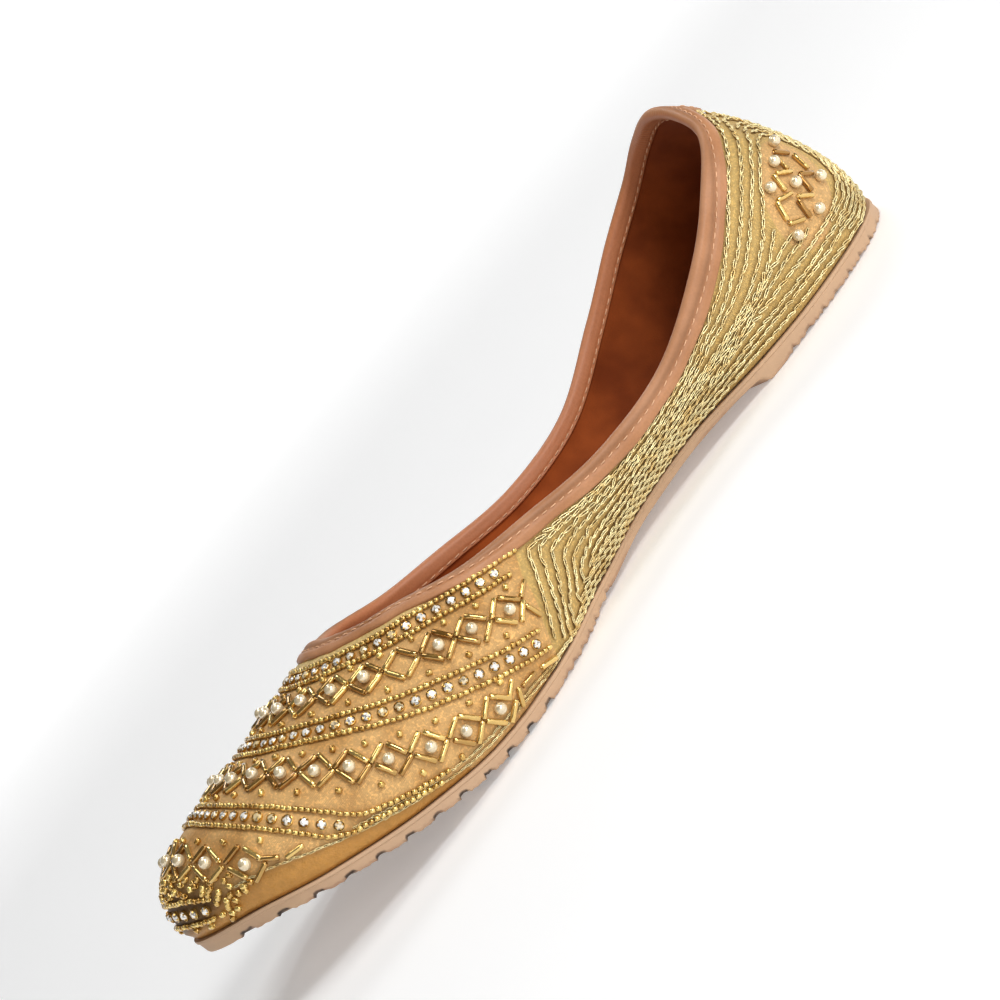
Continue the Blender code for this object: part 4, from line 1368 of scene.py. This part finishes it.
# ---- every piece, listed under a slot name, rides on the root body ----
slots = {"gold_cloth": [upper, zariRight, zariLeft, seeds, stones, cups, bugles, pearls, singles],
         "binding_leather": [binding, bindingStitches], "tab_leather": [tab, tabStitches],
         "sole_rubber": [outsole], "insole_suede": [insole, insoleStitches]}
for slotName, members in slots.items():
    for piece in members:
        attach(piece, "root")
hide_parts("upper")
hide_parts("collar_binding")
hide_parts("back_tab")
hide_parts("outsole")
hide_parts("insole")


# ---- floor, light and camera ----
floorLook = dict(reach=1.6, curve=0.5, wall=0.05, steps=24, sides=96, under=-0.00002,
                 white=(0.86, 0.86, 0.86), glow=0.7, glowNear=0.36)


def makeFloor():
    # a disc that curves up into a low wall and glows a little, more so far away
    look = floorLook
    n, reach, curve = look["sides"], look["reach"], look["curve"]
    a = np.arange(1, look["steps"] + 1) * math.pi / 2 / look["steps"]
    r = np.concatenate([reach * np.arange(1, 7) / 6, reach + curve * np.sin(a), [reach + curve]])
    z = np.concatenate([np.zeros(6), curve * (1 - np.cos(a)), [curve + look["wall"]]])
    verts = np.concatenate([np.zeros((1, 3))] + [level(n, *row) for row in zip(r, z)])
    verts[:, 2] += look["under"]
    faces = [[0, 1 + j, 1 + (j + 1) % n] for j in range(n)]
    faces += [[k + 1 for k in f] for f in gridFaces(len(r), n, closeColumns=True, flip=True)]
    f = Finish("floor_white", look["white"], 0.7, Emission_Strength=look["glow"])
    f.feed(Base_Color=f.shaded(look["white"], 0.985 + 0.03 * f.noise(14, 2)),
           Emission_Color=f.shaded((1.0, 1.0, 1.0), f.layer("far")))
    far = look["glowNear"] + (1 - look["glowNear"]) * step(np.hypot(*verts[:, :2].T), 0.4, 1.3)
    return newPiece("floor", verts, faces, [f.material], far=far)


def towards(azimuth, elevation):
    a, e = math.radians(azimuth), math.radians(elevation)
    return Vector((math.sin(a) * math.cos(e), -math.cos(a) * math.cos(e), math.sin(e)))


def makeLight(lamp):
    light = bpy.data.lights.new(lamp.name, "AREA")
    light.shape, light.size, light.energy = "DISK", lamp.size, lamp.power
    obj = bpy.data.objects.new(lamp.name, light)
    obj.location = towards(lamp.azimuth, lamp.elevation) * lamp.away
    obj.rotation_mode = "QUATERNION"
    obj.rotation_quaternion = obj.location.to_track_quat("Z", "Y")
    bpy.context.scene.collection.objects.link(obj)


# the photograph's direction and distance, aimed at the middle of the shoe
cameraLook = dict(azimuth=73.32, elevation=11.61, roll=50.55, away=0.7187, pivot=(0, -0.0056, 0),
                  aim=(0, 0.004, 0.030), lens=108)


def makeCamera():
    look = cameraLook
    a, r = math.radians(look["azimuth"]), math.radians(look["roll"])
    back = towards(look["azimuth"], look["elevation"])
    right = Vector((math.cos(a), math.sin(a), 0))
    imageUp = right * math.sin(r) + back.cross(right) * math.cos(r)
    spot = Vector(look["pivot"]) + back * look["away"]
    back = (spot - Vector(look["aim"])).normalized()
    imageUp = (imageUp - back * imageUp.dot(back)).normalized()
    camera = bpy.data.cameras.new("camera")
    camera.lens, camera.sensor_width = look["lens"], 36
    camera.clip_start, camera.clip_end = 0.02, 20
    obj = bpy.data.objects.new("camera", camera)
    turn = Matrix((imageUp.cross(back), imageUp, back)).transposed().to_4x4()
    obj.matrix_world = Matrix.Translation(spot) @ turn
    bpy.context.scene.collection.objects.link(obj)
    bpy.context.scene.camera = obj


Lamp = namedtuple("Lamp", "name azimuth elevation away size power")
lamps = [Lamp("key", 120, 36, 1.1, 0.42, 6.6), Lamp("soft", 88, 16, 1.3, 0.5, 3.3),
         Lamp("back", 240, 45, 1.6, 0.5, 4), Lamp("above", 150, 80, 1.4, 0.7, 4.5)]
makeFloor()
for lamp in lamps:
    makeLight(lamp)
world = bpy.data.worlds.new("studio")
bpy.context.scene.world = world
world.use_nodes = True
world.node_tree.nodes["Background"].inputs["Color"].default_value = (1, 1, 1, 1)
world.node_tree.nodes["Background"].inputs["Strength"].default_value = 0.09
bpy.context.scene.view_settings.view_transform = "Standard"
makeCamera()
print("studio lit")
